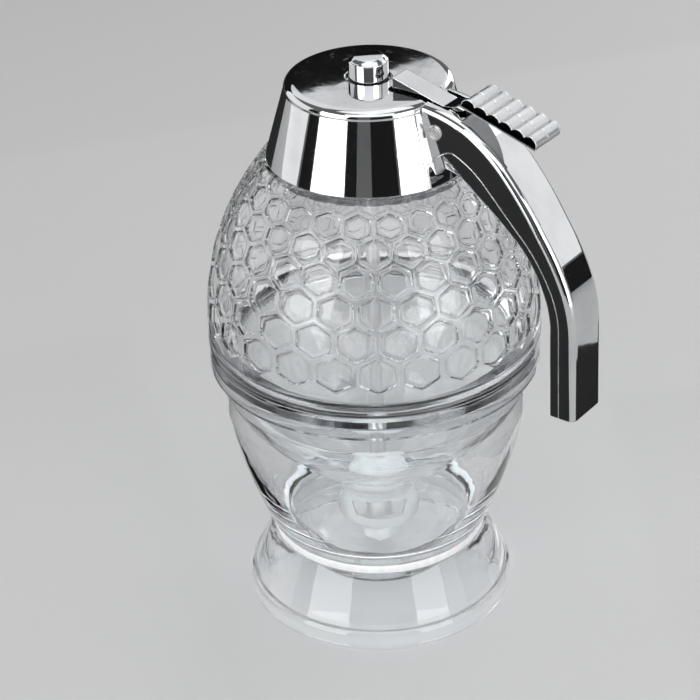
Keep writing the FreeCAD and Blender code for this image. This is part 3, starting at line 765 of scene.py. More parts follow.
@dataclass(frozen=True)
class BondedWeld(Finish):
    """The frosted band where two clear mouldings are bonded."""

    name: str = "frosted_weld"
    marks: Values = (260.0, 2400.0)
    skin: Values = (420.0, 2600.0, 0.6)
    pale: Colour = (0.93, 0.94, 0.95)
    grey: Colour = (0.8, 0.82, 0.84)

    def surface(self, nodes: Nodes) -> Node:
        """Lay out the frosted skin over a cloudy inside.

        Args:
            nodes: The material's helper.

        Returns:
            The node that gives the surface's shader.
        """
        height, cloud = self.moulded(nodes)
        smudge, _ = self.handled(nodes)
        bump = nodes.add("Bump", Strength=0.6, Distance=0.00012, Height=height)
        return nodes.add(
            "BsdfPrincipled", IOR=1.49, Subsurface_Weight=0.35, Subsurface_Scale=0.0015,
            Base_Color=nodes.blend(cloud, self.pale, self.grey), Normal=bump.outputs[0],
            Roughness=nodes.spread(smudge, 0.0, 1.0, 0.42, 0.62))


@dataclass(frozen=True)
class BrightChrome(Finish):
    """Bright plating: slow ripples of the moulding below, smudges, scuffs and rubbed edges."""

    name: str = "bright_chrome"
    marks: Values = (70.0, 1700.0)
    skin: Values = (110.0, 1800.0, 0.008)
    wear: Values = (0.0004, 330.0)
    bright: Colour = (0.67, 0.68, 0.69)
    dulled: Colour = (0.58, 0.59, 0.61)
    rubbed: Colour = (0.8, 0.8, 0.79)
    satin_from: float | None = None
    satin_fade: float = 0.8

    def surface(self, nodes: Nodes) -> Node:
        """Lay out the plating, and the satin part from a distance along X where it has one.

        Args:
            nodes: The material's helper.

        Returns:
            The node that gives the surface's shader.
        """
        smudge, scuff = self.handled(nodes)
        height, _ = self.moulded(nodes)
        edge, rounded = self.worn(nodes)
        dull = nodes.blend(smudge, self.bright, self.dulled)
        rough = nodes.pile(0.02, (smudge, 0.035), (scuff, 0.09), (edge, 0.12))
        if self.satin_from is not None:
            across = nodes.add("SeparateXYZ", Vector=nodes.own_place()).outputs["X"]
            satin = nodes.spread(across, self.satin_from * MM,
                                 (self.satin_from + self.satin_fade) * MM)
            rough = nodes.pile(rough, (satin, 0.3))
        bump = nodes.add("Bump", Strength=0.14, Distance=0.00006, Height=height, Normal=rounded)
        return nodes.add(
            "BsdfPrincipled", Metallic=1.0, Roughness=rough, Normal=bump.outputs[0],
            Base_Color=nodes.blend(edge, dull, self.rubbed))


@dataclass(frozen=True)
class TurnedSteel(Finish):
    """Stainless steel with the fine rings that turning and drawing leave."""

    name: str
    ring_scale: Values
    bright: Colour = (0.84, 0.835, 0.83)
    dark: Colour = (0.68, 0.68, 0.69)
    marks: Values = (160.0, 2600.0)
    wear: Values = (0.0002, 600.0)

    def surface(self, nodes: Nodes) -> Node:
        """Lay out the rings, dulled by smudges.

        Args:
            nodes: The material's helper.

        Returns:
            The node that gives the surface's shader.
        """
        rings = nodes.noise(nodes.own_place(), 1.0, 4.0, 0.7, stretch=self.ring_scale)
        smudge, _ = self.handled(nodes)
        _, rounded = self.worn(nodes)
        bump = nodes.add("Bump", Strength=0.4, Distance=0.00002, Height=rings, Normal=rounded)
        return nodes.add(
            "BsdfPrincipled", Metallic=1.0, Normal=bump.outputs[0],
            Roughness=nodes.pile(nodes.spread(rings, 0.3, 0.7, 0.26, 0.42), (smudge, 0.06)),
            Base_Color=nodes.blend(nodes.spread(rings, 0.35, 0.65), self.dark, self.bright))


@dataclass(frozen=True)
class MilkySilicone(Finish):
    """Soft silicone: cloudy inside, with a satin skin that holds a little dust."""

    name: str = "milky_silicone"
    milky: Colour = (0.76, 0.775, 0.77)
    cloudy: Colour = (0.58, 0.61, 0.615)
    clear: float = 0.0
    marks: Values = (190.0, 2600.0)
    skin: Values = (210.0, 5200.0, 0.25)

    def surface(self, nodes: Nodes) -> Node:
        """Lay out the satin skin over a cloudy inside.

        Args:
            nodes: The material's helper.

        Returns:
            The node that gives the surface's shader.
        """
        height, cloud = self.moulded(nodes)
        smudge, _ = self.handled(nodes)
        bump = nodes.add("Bump", Strength=0.4, Distance=0.00008, Height=height)
        return nodes.add(
            "BsdfPrincipled", IOR=1.41, Subsurface_Weight=0.3, Subsurface_Scale=0.002,
            Transmission_Weight=self.clear, Normal=bump.outputs[0],
            Base_Color=nodes.blend(cloud, self.milky, self.cloudy),
            Roughness=nodes.spread(smudge, 0.0, 1.0, 0.28, 0.48))


@dataclass(frozen=True)
class WhitePlastic(Finish):
    """White moulded plastic with a fine spark texture, faint slightly yellowed clouds and rubbed
    edges.
    """

    name: str = "white_plastic"
    marks: Values = (120.0, 2000.0)
    skin: Values = (130.0, 4200.0, 0.5)
    wear: Values = (0.0003, 420.0)
    white: Colour = (0.86, 0.86, 0.84)
    shaded: Colour = (0.78, 0.78, 0.75)

    def surface(self, nodes: Nodes) -> Node:
        """Lay out the white skin with its grain.

        Args:
            nodes: The material's helper.

        Returns:
            The node that gives the surface's shader.
        """
        height, cloud = self.moulded(nodes)
        smudge, _ = self.handled(nodes)
        edge, rounded = self.worn(nodes)
        bump = nodes.add("Bump", Strength=0.5, Distance=0.00006, Height=height, Normal=rounded)
        rough = nodes.spread(smudge, 0.0, 1.0, 0.4, 0.55)
        return nodes.add(
            "BsdfPrincipled", IOR=1.5, Roughness=nodes.pile(rough, (edge, 0.12)),
            Base_Color=nodes.blend(cloud, self.white, self.shaded), Normal=bump.outputs[0])


def made(finish: Callable[[], Finish]) -> Material:
    """Stand for a material that is built when the finishes are."""
    return field(default_factory=lambda: finish().material())


@dataclass
class Finishes:
    """The materials of the whole object."""

    acrylic: Material = made(ClearAcrylic)
    weld: Material = made(BondedWeld)
    chrome: Material = made(BrightChrome)
    satin: Material = made(lambda: BrightChrome("satin_chrome", satin_from=35.8))
    steel: Material = made(lambda: TurnedSteel("turned_steel", (90.0, 90.0, 5200.0)))
    pin_steel: Material = made(lambda: TurnedSteel(
        "pin_steel", (420.0, 5200.0, 420.0), (0.8, 0.79, 0.77), (0.66, 0.65, 0.64)))
    silicone: Material = made(MilkySilicone)
    clear_silicone: Material = made(lambda: MilkySilicone(
        "clear_silicone", (0.93, 0.94, 0.94), (0.84, 0.86, 0.87), 0.72))
    plastic: Material = made(WhitePlastic)

    def by_node(self) -> dict[str, Material]:
        """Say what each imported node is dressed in.

        Returns:
            The material of each node, by the node's name.
        """
        worn_by = (
            (self.acrylic, "stand_foot stand_bowl jar_dome jar_funnel"),
            (self.clear_silicone, "outlet_cage"),
            (self.silicone, "valve_plug rod_wiper neck_gasket"),
            (self.chrome, "cap_shell handle_cover plunger_knob"),
            (self.satin, "lever"),
            (self.pin_steel, "lever_pin"),
            (self.steel, "plunger_rod spring_washer return_spring"),
            (self.plastic, "cap_liner rod_guide"))
        return {node: material for material, nodes in worn_by for node in nodes.split()}


# ---------------------------------------------------------------------------
# Stand: hollow flared foot and round bowl
# ---------------------------------------------------------------------------
@dataclass
class Stand:
    """The clear stand, with its foot and bowl bonded at the waist."""

    foot_inside: float = 39.5
    bead: tuple[Station, ...] = (
        (40.8, 0), (41.64, 0.36, 42.0, 1.2), (42.0, 3.6), (41.7, 6.0, 40.8, 7.2), (40.2, 7.2))
    skirt_inside: tuple[Point, ...] = ((37.7, 7.2), (39.5, 6.0))
    waist_radius: float = 33.7
    waist_inside: float = 31.2
    waist_low: float = 24.1
    waist_high: float = 27.0
    keel: tuple[Station, ...] = ((0, 8.8), (17.0, 8.8))
    keel_middle: Point = (26.9, 14.2)
    flare_radius: float = 34.1
    wall: tuple[Station, ...] = ((40.6, 44.3, 46.8, 70.0), (47.3, 84.0))
    lip: tuple[Station, ...] = (
        (50.6, 84.0), (50.6, 87.8 - AIR), (44.8, 87.8 - AIR), (44.8, 84.0))
    wall_inside: tuple[Station, ...] = ((44.4, 70.0), (38.2, 45.3, 31.9, 30.6))
    seat_corner: Point = (28.8, 29.4)
    floor: tuple[Station, ...] = ((25.0, 15.9, 16.0, 11.2), (0, 11.2))
    foot_rounding: float = 0.35
    weld_rounding: float = 0.25
    bowl_rounding: float = 0.4

    def build(self, finishes: Finishes) -> None:
        """Build both mouldings and the bonded band between them.

        Args:
            finishes: The object's materials.
        """
        self.build_foot(finishes.acrylic)
        self.build_weld(finishes.weld)
        self.build_bowl(finishes.acrylic)

    def build_foot(self, finish: Material) -> None:
        """Turn the flared skirt with its rounded bead.

        Args:
            finish: The skirt's material.
        """
        top = self.waist_low - AIR
        foot = turned("stand_foot_skirt", path(
            (self.foot_inside, 0), *self.bead, (self.waist_radius, top),
            (self.waist_inside + AIR, top), *self.skirt_inside))
        soften(foot, self.foot_rounding)
        smooth(foot)
        hand_over(foot, Body.STAND, Slot.ACRYLIC, finish, "stand_foot")

    def build_weld(self, finish: Material) -> None:
        """Turn the frosted band that bonds the foot to the bowl.

        Args:
            finish: The band's material.
        """
        inside, top = self.waist_inside + AIR, self.waist_high - AIR
        weld = turned("stand_waist_weld", [
            (inside, self.waist_low), (self.waist_radius, self.waist_low),
            (self.waist_radius, top), (inside, top)])
        soften(weld, self.weld_rounding)
        smooth(weld)
        hand_over(weld, Body.STAND, Slot.ACRYLIC, finish)

    def build_bowl(self, finish: Material) -> None:
        """Turn the bowl with its lip and rounded keel.

        Args:
            finish: The bowl's material.
        """
        neck = self.waist_inside - AIR
        bowl = turned("stand_bowl_shell", path(
            *self.keel, (*self.keel_middle, neck, self.waist_low), (neck, self.waist_high),
            (self.flare_radius, self.waist_high), *self.wall, *self.lip, *self.wall_inside,
            self.seat_corner, *self.floor, steps=20))
        soften(bowl, self.bowl_rounding)
        smooth(bowl)
        hand_over(bowl, Body.STAND, Slot.ACRYLIC, finish, "stand_bowl")


# ---------------------------------------------------------------------------
# Jar: beehive dome over a funnel; the outlet cage keeps its solid
# ---------------------------------------------------------------------------
class Meridian:
    """The dome's outer line, measured along the wall in shares of the local radius."""

    def __init__(self, line: Sequence[Point]) -> None:
        """Measure a line of radii and heights that climbs from the base.

        Args:
            line: Radius and height of closely spaced points, in millimetres.
        """
        self.line = list(line)
        self.climb = [0.0]
        for (r0, z0), (r1, z1) in zip(self.line, self.line[1:]):
            self.climb.append(self.climb[-1] + math.hypot(r1 - r0, z1 - z0) / ((r0 + r1) / 2))

    def climb_at(self, height: float) -> float:
        """Find how far up the line a height is.

        Args:
            height: The height, in millimetres.

        Returns:
            The climb at which the line reaches it.
        """
        heights = [z for _, z in self.line]
        k = min(max(bisect_left(heights, height), 1), len(heights) - 1)
        share = (height - heights[k - 1]) / (heights[k] - heights[k - 1])
        return self.climb[k - 1] + share * (self.climb[k] - self.climb[k - 1])

    def point_at(self, climb: float) -> tuple[Point, Point]:
        """Find a point of the line.

        Args:
            climb: The climb at the point.

        Returns:
            Its radius and height, and the outward direction there.
        """
        k = min(max(bisect_left(self.climb, climb), 1), len(self.line) - 1)
        (r0, z0), (r1, z1) = self.line[k - 1], self.line[k]
        share = (climb - self.climb[k - 1]) / (self.climb[k] - self.climb[k - 1])
        length = math.hypot(r1 - r0, z1 - z0)
        outward = ((z1 - z0) / length, (r0 - r1) / length)
        return (r0 + share * (r1 - r0), z0 + share * (z1 - z0)), outward


@dataclass
class Honeycomb:
    """The raised net of ridges round the dome, with a sunken panel in every cell."""

    columns: int = 25
    rows: int = 8
    lead: float = -52.5
    lowest: float = 105.7
    pitch: float = 0.1935
    roll: float = 46.0
    ridge: float = 1.1
    corner: float = 0.7
    slope: tuple[Point, ...] = ((0.1, -0.06), (0.3, -0.38), (0.14, -0.08), (1.2, -0.02))
    margin: tuple[float, ...] = (97.8, 96.6, 96.0)

    def flat_sheet(self, meridian: Meridian) -> Piece:
        """Model one cell and repeat it over a flat sheet.

        Args:
            meridian: The line that the sheet will be wrapped on.

        Returns:
            The sheet, with the azimuth along X, the climb along Y and the relief along Z.
        """
        width = TURN * self.roll / self.columns
        reach = width / math.sqrt(3)
        rise = self.pitch * self.roll
        put_down()
        bpy.ops.mesh.primitive_circle_add(vertices=6, radius=reach * MM, fill_type="NGON")
        sheet = named("jar_dome_beehive")
        open_mesh(sheet, Element.FACE)
        bpy.ops.transform.resize(value=(1, rise / (1.5 * reach), 1))
        bpy.ops.mesh.inset(thickness=self.ridge / 2 * MM, depth=0)
        bpy.ops.mesh.select_mode(type="VERT")
        bpy.ops.mesh.bevel(offset=self.corner * MM, segments=1, affect="VERTICES")
        choose(sheet, Element.FACE, lambda face: face.calc_center_median().length < 0.1 * MM)
        for thickness, depth in self.slope:
            bpy.ops.mesh.inset(thickness=thickness * MM, depth=depth * MM)
        bpy.ops.mesh.poke()
        close_mesh()
        repeat(sheet, self.columns, (width, 0))
        open_mesh(sheet)
        shift = (width / 2 * MM, rise * MM, 0)
        bpy.ops.mesh.duplicate_move(TRANSFORM_OT_translate={"value": shift})
        close_mesh()
        repeat(sheet, self.rows // 2, (0, 2 * rise))
        open_mesh(sheet)
        bpy.ops.mesh.remove_doubles(threshold=0.01 * MM)
        self.add_margin(sheet, meridian, -rise / 3)
        close_mesh()
        return sheet

    def add_margin(self, sheet: Piece, meridian: Meridian, tips: float) -> None:
        """Draw the sheet's lower edge down to the base ring as a smooth margin.

        Args:
            sheet: The sheet, in edit mode.
            meridian: The line that the sheet will be wrapped on.
            tips: The height on the sheet below which only lower edges lie.
        """
        level = (tips + 0.05) * MM
        choose(sheet, Element.EDGE, lambda edge: edge.is_boundary and all(
            vert.co.y < level for vert in edge.verts))
        bpy.ops.mesh.subdivide(number_cuts=1)
        low = meridian.climb_at(self.lowest)
        for height in self.margin:
            line = (meridian.climb_at(height) - low) * self.roll
            bpy.ops.mesh.extrude_edges_move(TRANSFORM_OT_translate={"value": (0, -MM, 0)})
            bpy.ops.transform.resize(value=(1, 0, 1), center_override=(0, line * MM, 0))

    def wrap(self, sheet: Piece, meridian: Meridian, widest: float) -> None:
        """Roll the flat sheet up on the dome.

        Args:
            sheet: The flat sheet.
            meridian: The dome's outer line, on which the ridges' tops lie.
            widest: The radius that nothing may pass.
        """
        low = meridian.climb_at(self.lowest)
        for vertex in sheet.data.vertices:
            x, y, relief = (value / MM for value in vertex.co)
            (radius, height), outward = meridian.point_at(low + y / self.roll)
            lift = min(0.0, (widest - radius) / outward[0]) + relief
            radius += outward[0] * lift
            height += outward[1] * lift
            azimuth = math.radians(self.lead) + x / self.roll
            vertex.co = (radius * math.cos(azimuth) * MM, radius * math.sin(azimuth) * MM,
                         height * MM)


@dataclass
class Dome:
    """The clear dome: its honeycomb, base ring, shoulder, neck and inner wall."""

    comb: Honeycomb = field(default_factory=Honeycomb)
    widest: float = 50.68
    comb_low: float = 96.0
    comb_middle: float = 121.9
    comb_high: float = 151.5
    outside: tuple[Station, ...] = (
        (50.7, 90.0), (50.7, 95.4), (49.5, 113.8, 45.2, 128.8), (39.2, 141.0, 31.4, 152.1),
        (24.0, 160.0))
    ring: tuple[Point, ...] = (
        (50.5, 95.85), (50.1, 95.7), (50.05, 95.4), (50.45, 95.35), (50.7, 95.25),
        (50.8, 95.0), (50.8, 92.1), (50.7, 91.85), (50.4, 91.7 + AIR), (42.3, 91.7 + AIR),
        (42.1, 91.95))
    inside: tuple[Station, ...] = (
        (47.9, 95.4), (46.7, 113.8, 42.5, 128.0), (37.2, 139.2, 29.9, 149.3))
    neck: tuple[Point, ...] = (
        (20.6, 149.3), (20.6, 158.2), (20.8, 158.4 - AIR), (23.2, 158.4 - AIR),
        (23.4, 158.2), (23.4, 152.4), (23.7, 152.1), (30.3, 152.1))
    sharp: float = 48.0

    def build(self, finish: Material) -> None:
        """Wrap the honeycomb on the dome and close it with its ring, wall and neck.

        Args:
            finish: The dome's material.
        """
        meridian = Meridian(path(*self.outside, steps=60))
        dome = self.comb.flat_sheet(meridian)
        self.comb.wrap(dome, meridian, self.widest)
        open_mesh(dome)
        bpy.ops.mesh.remove_doubles(threshold=0.02 * MM)
        take_all()
        bpy.ops.mesh.bisect(plane_co=(0, 0, self.comb_high * MM), plane_no=(0, 0, 1),
                            clear_outer=True)
        middle = self.comb_middle * MM
        choose(dome, Element.EDGE,
               lambda edge: edge.is_boundary and edge.verts[0].co.z < middle)
        bpy.ops.transform.resize(value=(1, 1, 0), center_override=(0, 0, self.comb_low * MM))
        follow([*self.ring, *path(*self.inside, steps=16), *self.neck],
               (self.widest, self.comb_low))
        choose(dome, Element.EDGE, lambda edge: edge.is_boundary)
        bpy.ops.mesh.bridge_edge_loops()
        face_out()
        smooth(dome, self.sharp)
        hand_over(dome, Body.JAR, Slot.ACRYLIC, finish, "jar_dome")


@dataclass
class Funnel:
    """The clear funnel: flange, spigot, sloping cone and the outlet's collar."""

    slope: float = math.radians(42.0)
    wall: float = 2.2
    outlet_radius: float = 7.0
    outlet_low: float = 36.0
    outlet_high: float = 38.8
    collar_radius: float = 9.3
    collar_high: float = 38.6
    cone: Point = (10.8, 21.6)
    cone_inside: float = 19.4
    spigot: tuple[Station, ...] = ((35.2, 61.8, 44.3, 76.8), (44.3, 87.8 + AIR))
    flange: tuple[Station, ...] = ((50.4, 87.8 + AIR), (50.4, 91.7), (42.1, 91.7))
    spigot_foot: Point = (42.1, 76.8)
    shoulder_inside: Point = (33.4, 63.1)
    rounding: float = 0.35

    def height(self, radius: float, wall: float = 0.0) -> float:
        """Return the cone's height at a radius, inside it or on the far side of its wall."""
        rise = (radius - self.outlet_radius) * math.tan(self.slope)
        return self.outlet_high + rise - wall / math.cos(self.slope)

    def build(self, finish: Material) -> None:
        """Turn the funnel.

        Args:
            finish: The funnel's material.
        """
        collar = self.collar_radius - AIR
        funnel = turned("jar_funnel_shell", path(
            (self.outlet_radius, self.outlet_low), (collar, self.outlet_low),
            (collar, self.collar_high + AIR),
            *((radius, self.height(radius, self.wall)) for radius in self.cone),
            *self.spigot, *self.flange, self.spigot_foot,
            (*self.shoulder_inside, self.cone_inside, self.height(self.cone_inside)),
            (self.outlet_radius, self.outlet_high), steps=20))
        soften(funnel, self.rounding)
        smooth(funnel)
        hand_over(funnel, Body.JAR, Slot.ACRYLIC, finish, "jar_funnel")


# ---------------------------------------------------------------------------
# Cap: the chromed shell keeps its solid, with the pin's turned heads on the cheeks
# ---------------------------------------------------------------------------
@dataclass
class LeverPin:
    """The steel pin that the lever turns on, with a low ringed head on each cheek."""

    place: Point = (28.4, 168.7)
    radius: float = 1.5
    cheek: float = 7.7
    head_radius: float = 2.2
    head_height: float = 0.5
    groove_radius: float = 1.45
    groove_depth: float = 0.2
    groove_edge: float = 0.14
    groove_floor: float = 0.06
    sharp: float = 25.0

    def build(self, finish: Material) -> None:
        """Turn the pin upright and lay it across the handle.

        Args:
            finish: The pin's material.
        """
        outer, ring, face = self.head_radius, self.groove_radius, self.cheek + self.head_height
        edge, floor, low = self.groove_edge, self.groove_floor, face - self.groove_depth
        head = [
            (self.radius, self.cheek), (outer - 0.08, self.cheek), (outer, self.cheek + 0.1),
            (outer, face - edge), (outer - edge, face), (ring + edge, face),
            (ring + floor, low), (ring - floor, low), (ring - edge, face), (0, face)]
        foot = [(radius, -height) for radius, height in reversed(head)]
        pin = turned("lever_pin_riveted", [*foot, *head], steps=64)
        smooth(pin, self.sharp)
        lay = Matrix.Translation((self.place[0] * MM, 0, self.place[1] * MM))
        pin.data.transform(lay @ Matrix.Rotation(math.pi / 2, 4, "X"))
        hand_over(pin, Body.CAP, Slot.STEEL, finish, "lever_pin")


# ---------------------------------------------------------------------------
# Lever: raised beads round the ribs of its thumb pad
# ---------------------------------------------------------------------------
@dataclass
class ThumbPad:
    """The rolled beads that run over the pad's ribs, at its middle and at both ends."""

    origin: Point = (36.2, 178.0)
    tilt: float = math.radians(16.2)
    width: float = 12.6
    ribs: int = 6
    pitch: float = 4.2
    valley: float = 2.1
    peak: float = 3.2
    underside: float = 0.3
    proud: float = 0.22
    bead: float = 0.55
    rounding: float = 0.16
    rounded_from: float = 60.0
    sharp: float = 40.0

    def place(self, along: float, up: float) -> Point:
        """Return the side view's point at a distance along the pad and above its underside."""
        return (self.origin[0] + along * math.cos(self.tilt) + up * math.sin(self.tilt),
                self.origin[1] - along * math.sin(self.tilt) + up * math.cos(self.tilt))

    def outline(self) -> list[Point]:
        """Draw the side outline of a bead, a little outside the ribs' own one.

        Returns:
            X and Z of each corner, in millimetres.
        """
        grown = self.proud
        points = [self.place(-grown, self.underside), self.place(-grown, self.valley / 2 + grown)]
        for rib in range(self.ribs):
            last = rib == self.ribs - 1
            middle = self.place((rib + 0.5) * self.pitch, self.peak + grown)
            stop = self.place((rib + 1) * self.pitch + grown * last,
                              (self.valley / 2 if last else self.valley) + grown)
            points += arc(points[-1], middle, stop, 10)
        points.append(self.place(self.ribs * self.pitch + grown, self.underside))
        return points

    def build(self, finish: Material) -> None:
        """Cut the three beads and lay them over the ribs.

        Args:
            finish: The beads' material.
        """
        edge = self.width / 2
        for name, low, high in (("near", -edge, -edge + self.bead),
                                ("middle", -self.bead / 2, self.bead / 2),
                                ("far", edge - self.bead, edge)):
            bead = plate(f"lever_pad_bead_{name}", self.outline(), low, high)
            soften(bead, self.rounding, self.rounded_from)
            smooth(bead, self.sharp)
            hand_over(bead, Body.LEVER, Slot.CHROME, finish)


# ---------------------------------------------------------------------------
# Plunger: the turned knob and the spring that presses it down
# ---------------------------------------------------------------------------
@dataclass
class Knob:
    """The chromed knob: a turned head with a conical shoulder, over the flange it is lifted by."""

    bore: float = 2.3
    flange: float = 8.0
    flange_low: float = 164.6
    flange_high: float = 166.0
    flange_edge: float = 0.2
    radius: float = 5.8
    fillet: float = 0.3
    crown: tuple[Station, ...] = (
        (5.8, 181.05), (5.7, 181.37, 5.45, 181.55), (4.48, 182.38),
        (4.32, 182.54, 4.1, 182.6), (0, 182.6))
    socket: float = 173.8
    sharp: float = 28.0

    def build(self, finish: Material) -> None:
        """Turn the knob.

        Args:
            finish: The knob's material.
        """
        bore, edge, roof = self.bore + AIR, self.flange_edge, self.socket + AIR
        knob = turned("plunger_knob_turned", path(
            (bore, self.flange_low), (self.flange - edge, self.flange_low),
            (self.flange, self.flange_low + edge), (self.flange, self.flange_high - edge),
            (self.flange - edge, self.flange_high),
            (self.radius + self.fillet, self.flange_high),
            (self.radius, self.flange_high + self.fillet),
            *self.crown, (0, roof), (bore, roof), steps=5), steps=96)
        smooth(knob, self.sharp)
        hand_over(knob, Body.PLUNGER, Slot.CHROME, finish, "plunger_knob")


@dataclass
class ReturnSpring:
    """The coil spring inside the cap, which shortens as the plunger is lifted."""

    coil_radius: float = 7.2
    wire: float = 0.35
    low: float = 166.35
    high: float = 173.35
    turns: int = 3
    steps: int = 60
    sides: int = 16
    sharp: float = 50.0
    travel: float = 4.4

    def build(self, finish: Material) -> None:
        """Wind the wire, close its ends and let it ride on the plunger.

        Args:
            finish: The spring's material.
        """
        put_down()
        bpy.ops.mesh.primitive_circle_add(
            vertices=self.sides, radius=self.wire * MM, rotation=(math.pi / 2, 0, 0),
            location=(self.coil_radius * MM, 0, self.low * MM))
        spring = named("return_spring_coil")
        bpy.ops.object.transform_apply(location=True, rotation=True, scale=True)
        steps = self.steps * self.turns
        add_modifier(spring, "SCREW", angle=TURN * self.turns, steps=steps, render_steps=steps,
                     screw_offset=(self.high - self.low) * MM)
        open_mesh(spring)
        choose(spring, Element.EDGE, lambda edge: edge.is_boundary)
        bpy.ops.mesh.fill_holes(sides=0)
        face_out()
        smooth(spring, self.sharp)
        hand_over(spring, Body.PLUNGER, Slot.STEEL, finish, "return_spring")
        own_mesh(spring)


# ---------------------------------------------------------------------------
# Studio
# ---------------------------------------------------------------------------
@dataclass(frozen=True)
class SoftBox:
    """A soft box: where it hangs round the object, how it is turned, its size and brightness."""

    name: str
    azimuth: float
    elevation: float
    size: Point
    radiance: float
    roll: float = 0.0
    distance: float = 1.1


@dataclass(frozen=True)
class Flag:
    """A black card, which gives the bright metal and the clear walls a dark edge to show."""

    name: str
    first: float
    last: float
    low: float = -0.1
    high: float = 0.5
    distance: float = 1.15


@dataclass(frozen=True)
class FloorCard:
    """A black card on the floor that only the bright metal mirrors."""

    name: str
    azimuth: float
    near: float
    far: float
    width: float


@dataclass(frozen=True)
class Camera:
    """The camera: its place, its right and upward directions, and its lens in millimetres."""

    place: Triple = (0.3566064, -0.4775079, 0.4426229)
    right: Triple = (0.8029080, 0.5954809, -0.0272262)
    up: Triple = (-0.2880895, 0.4276165, 0.8568247)
    sensor: float = 36.0
    lens: float = 116.182
    reach: Point = (0.05, 20.0)

    def build(self) -> None:
        """Set the camera at its viewing angle, without shift or depth of field."""
        data = bpy.data.cameras.new("camera")
        data.sensor_width = self.sensor
        data.lens = self.lens
        data.clip_start, data.clip_end = self.reach
        camera = bpy.data.objects.new("camera", data)
        right, up = Vector(self.right), Vector(self.up)
        camera.matrix_world = Matrix.Translation(self.place) @ Matrix(
            (right, up, right.cross(up))).transposed().to_4x4()
        bpy.context.scene.collection.objects.link(camera)
        bpy.context.scene.camera = camera


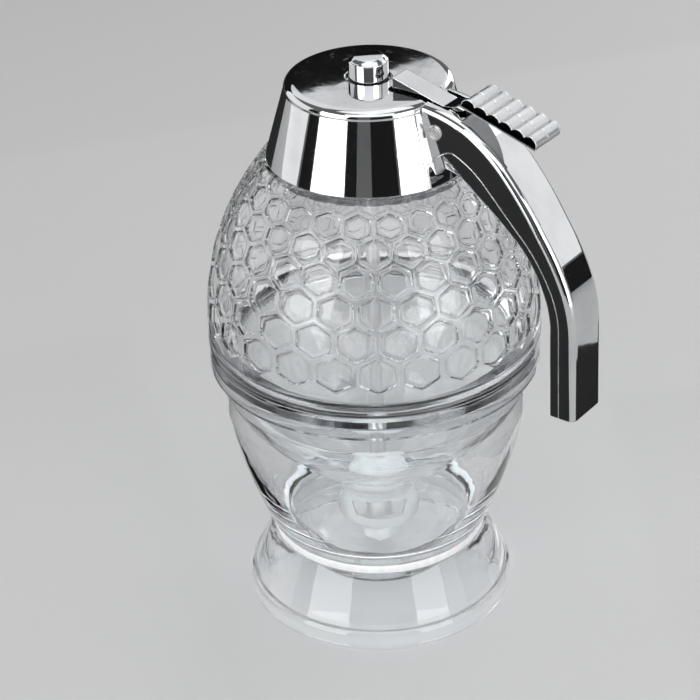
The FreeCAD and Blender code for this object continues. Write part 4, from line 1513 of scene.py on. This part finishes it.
@dataclass
class Studio:
    """The pale floor, the soft boxes, the cards, the room's fill and the camera."""

    view_turn: float = -37.5
    floor_colour: float = 0.55
    floor_roughness: float = 0.75
    floor_radius: float = 3.0
    floor_drop: float = 0.0002
    room: float = 0.16
    black: float = 0.004
    card_lift: float = 0.0003
    aim: Vector = field(default_factory=lambda: Vector((0, 0, 0.09)))
    boxes: tuple[SoftBox, ...] = (
        SoftBox("box_front_left", -137.5, 14, (0.736, 0.8), 3.6),
        SoftBox("box_front_right", -46, 14, (0.54, 0.8), 3.3),
        SoftBox("box_right", -22, 14, (0.34, 0.8), 1.0),
        SoftBox("box_side", 20, 26, (0.84, 0.72), 0.95),
        SoftBox("box_back_right", 64, 12, (0.27, 0.8), 2.8),
        SoftBox("box_back_left", 160.5, 12, (1.09, 0.8), 0.95),
        SoftBox("box_overhead", 88, 50.6, (1.7, 0.9), 0.85, 16.0),
        SoftBox("box_front_high", -90, 43, (1.1, 0.5), 1.6),
        SoftBox("box_top", -50, 82, (1.1, 0.9), 1.3, distance=1.2),
    )
    flags: tuple[Flag, ...] = (
        Flag("flag_front", -90, -62),
        Flag("flag_front_left", -118, -106),
        Flag("flag_left", -171, -157),
        Flag("flag_right", 3, 24, -0.1, 0.235),
        Flag("flag_back_right", 34, 43, -0.1, 0.235),
        Flag("flag_back", 84, 134, -0.1, 0.95, 1.32),
    )
    cards: tuple[FloorCard, ...] = (
        FloorCard("card_near", -165, 0.05, 0.55, 0.36),
        FloorCard("card_side", 3, 0.09, 0.245, 0.2),
        FloorCard("card_back_left", 108, 0.35, 1.1, 0.7),
    )

    def build(self) -> None:
        """Make the floor, the lamps, the cards, the world and the camera."""
        scene = bpy.context.scene
        scene.view_settings.view_transform = "Standard"
        scene.cycles.max_bounces = 32
        scene.cycles.transmission_bounces = 32
        scene.cycles.glossy_bounces = 8
        scene.cycles.transparent_max_bounces = 32
        self.make_floor()
        self.make_world()
        for box in self.boxes:
            self.make_box(box)
        for flag in self.flags:
            self.make_flag(flag)
        for card in self.cards:
            self.make_floor_card(card)
        Camera().build()

    def direction(self, azimuth: float, elevation: float = 0.0) -> Vector:
        """Find a direction.

        Args:
            azimuth: Degrees round the object from the viewer's right.
            elevation: Degrees above the floor.

        Returns:
            The direction, of length 1.
        """
        turn, lift = math.radians(azimuth - self.view_turn), math.radians(elevation)
        return Vector((math.cos(turn) * math.cos(lift), math.sin(turn) * math.cos(lift),
                       math.sin(lift)))

    def make_floor(self) -> None:
        """Lay the plain pale floor."""
        put_down()
        bpy.ops.mesh.primitive_circle_add(
            vertices=96, radius=self.floor_radius, fill_type="NGON")
        floor = named("floor")
        dress(floor, Matt("pale_floor", self.floor_colour, self.floor_roughness).material())
        floor.location.z = -self.floor_drop

    def make_world(self) -> None:
        """Fill the room with even grey light."""
        world = bpy.data.worlds.new("room")
        world.use_nodes = True
        nodes = Nodes(world.node_tree)
        fill = nodes.add("Background", Color=(self.room,) * 3, Strength=1.0)
        nodes.add("OutputWorld", Surface=fill.outputs[0])
        bpy.context.scene.world = world

    def make_box(self, box: SoftBox) -> None:
        """Hang one soft box so that it faces the object.

        Args:
            box: The soft box.
        """
        away = self.direction(box.azimuth, box.elevation)
        light = bpy.data.lights.new(box.name, "AREA")
        light.shape = "RECTANGLE"
        light.size, light.size_y = box.size
        light.energy = box.radiance * math.pi * box.size[0] * box.size[1]
        lamp = bpy.data.objects.new(box.name, light)
        lamp.location = self.aim + away * box.distance
        facing = (-away).to_track_quat("-Z", "Y").to_matrix()
        lamp.rotation_euler = (facing @ Matrix.Rotation(
            math.radians(box.roll), 3, "Z")).to_euler()
        lamp.visible_camera = False
        bpy.context.scene.collection.objects.link(lamp)

    def make_card(self, name: str, size: Point, place: Vector, turn: Euler,
                  *unseen: str) -> None:
        """Put up one black card.

        Args:
            name: The card's name.
            size: Its two sides.
            place: Its centre.
            turn: How it is turned.
            unseen: The kinds of ray that pass through it.
        """
        put_down()
        bpy.ops.mesh.primitive_plane_add(size=1)
        card = named(name)
        card.scale = (*size, 1)
        card.rotation_euler = turn
        card.location = place
        dress(card, Matt(name, self.black).material())
        for ray in unseen:
            setattr(card, f"visible_{ray}", False)

    def make_flag(self, flag: Flag) -> None:
        """Stand one black card on the floor, out of the camera's sight.

        Args:
            flag: The card's measures.
        """
        width = 2 * flag.distance * math.tan(math.radians((flag.last - flag.first) / 2))
        away = self.direction((flag.first + flag.last) / 2)
        place = away * flag.distance + Vector((0, 0, (flag.low + flag.high) / 2))
        turn = (-away).to_track_quat("Z", "Y").to_euler()
        self.make_card(flag.name, (width, flag.high - flag.low), place, turn, "camera")

    def make_floor_card(self, card: FloorCard) -> None:
        """Lay one black card on the floor for glossy rays alone.

        Args:
            card: The card's measures.
        """
        away = self.direction(card.azimuth)
        place = away * (card.near + card.far) / 2 + Vector((0, 0, self.card_lift))
        turn = Euler((0, 0, math.atan2(away.y, away.x)))
        self.make_card(card.name, (card.far - card.near, card.width), place, turn,
                       "camera", "diffuse", "transmission", "shadow")


def main() -> None:
    """Load the frame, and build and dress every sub-assembly."""
    logging.basicConfig(level=logging.INFO, format="%(name)s: %(message)s")
    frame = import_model()
    Studio().build()
    finishes = Finishes()
    finish = finishes.by_node()
    for node, piece in frame["nodes"].items():
        dress(piece, finish[node])
    Stand().build(finishes)
    Dome().build(finishes.acrylic)
    Funnel().build(finishes.acrylic)
    LeverPin().build(finishes.pin_steel)
    ThumbPad().build(finishes.satin)
    Knob().build(finishes.chrome)
    ReturnSpring().build(finishes.steel)


if __name__ == "__main__":
    main()
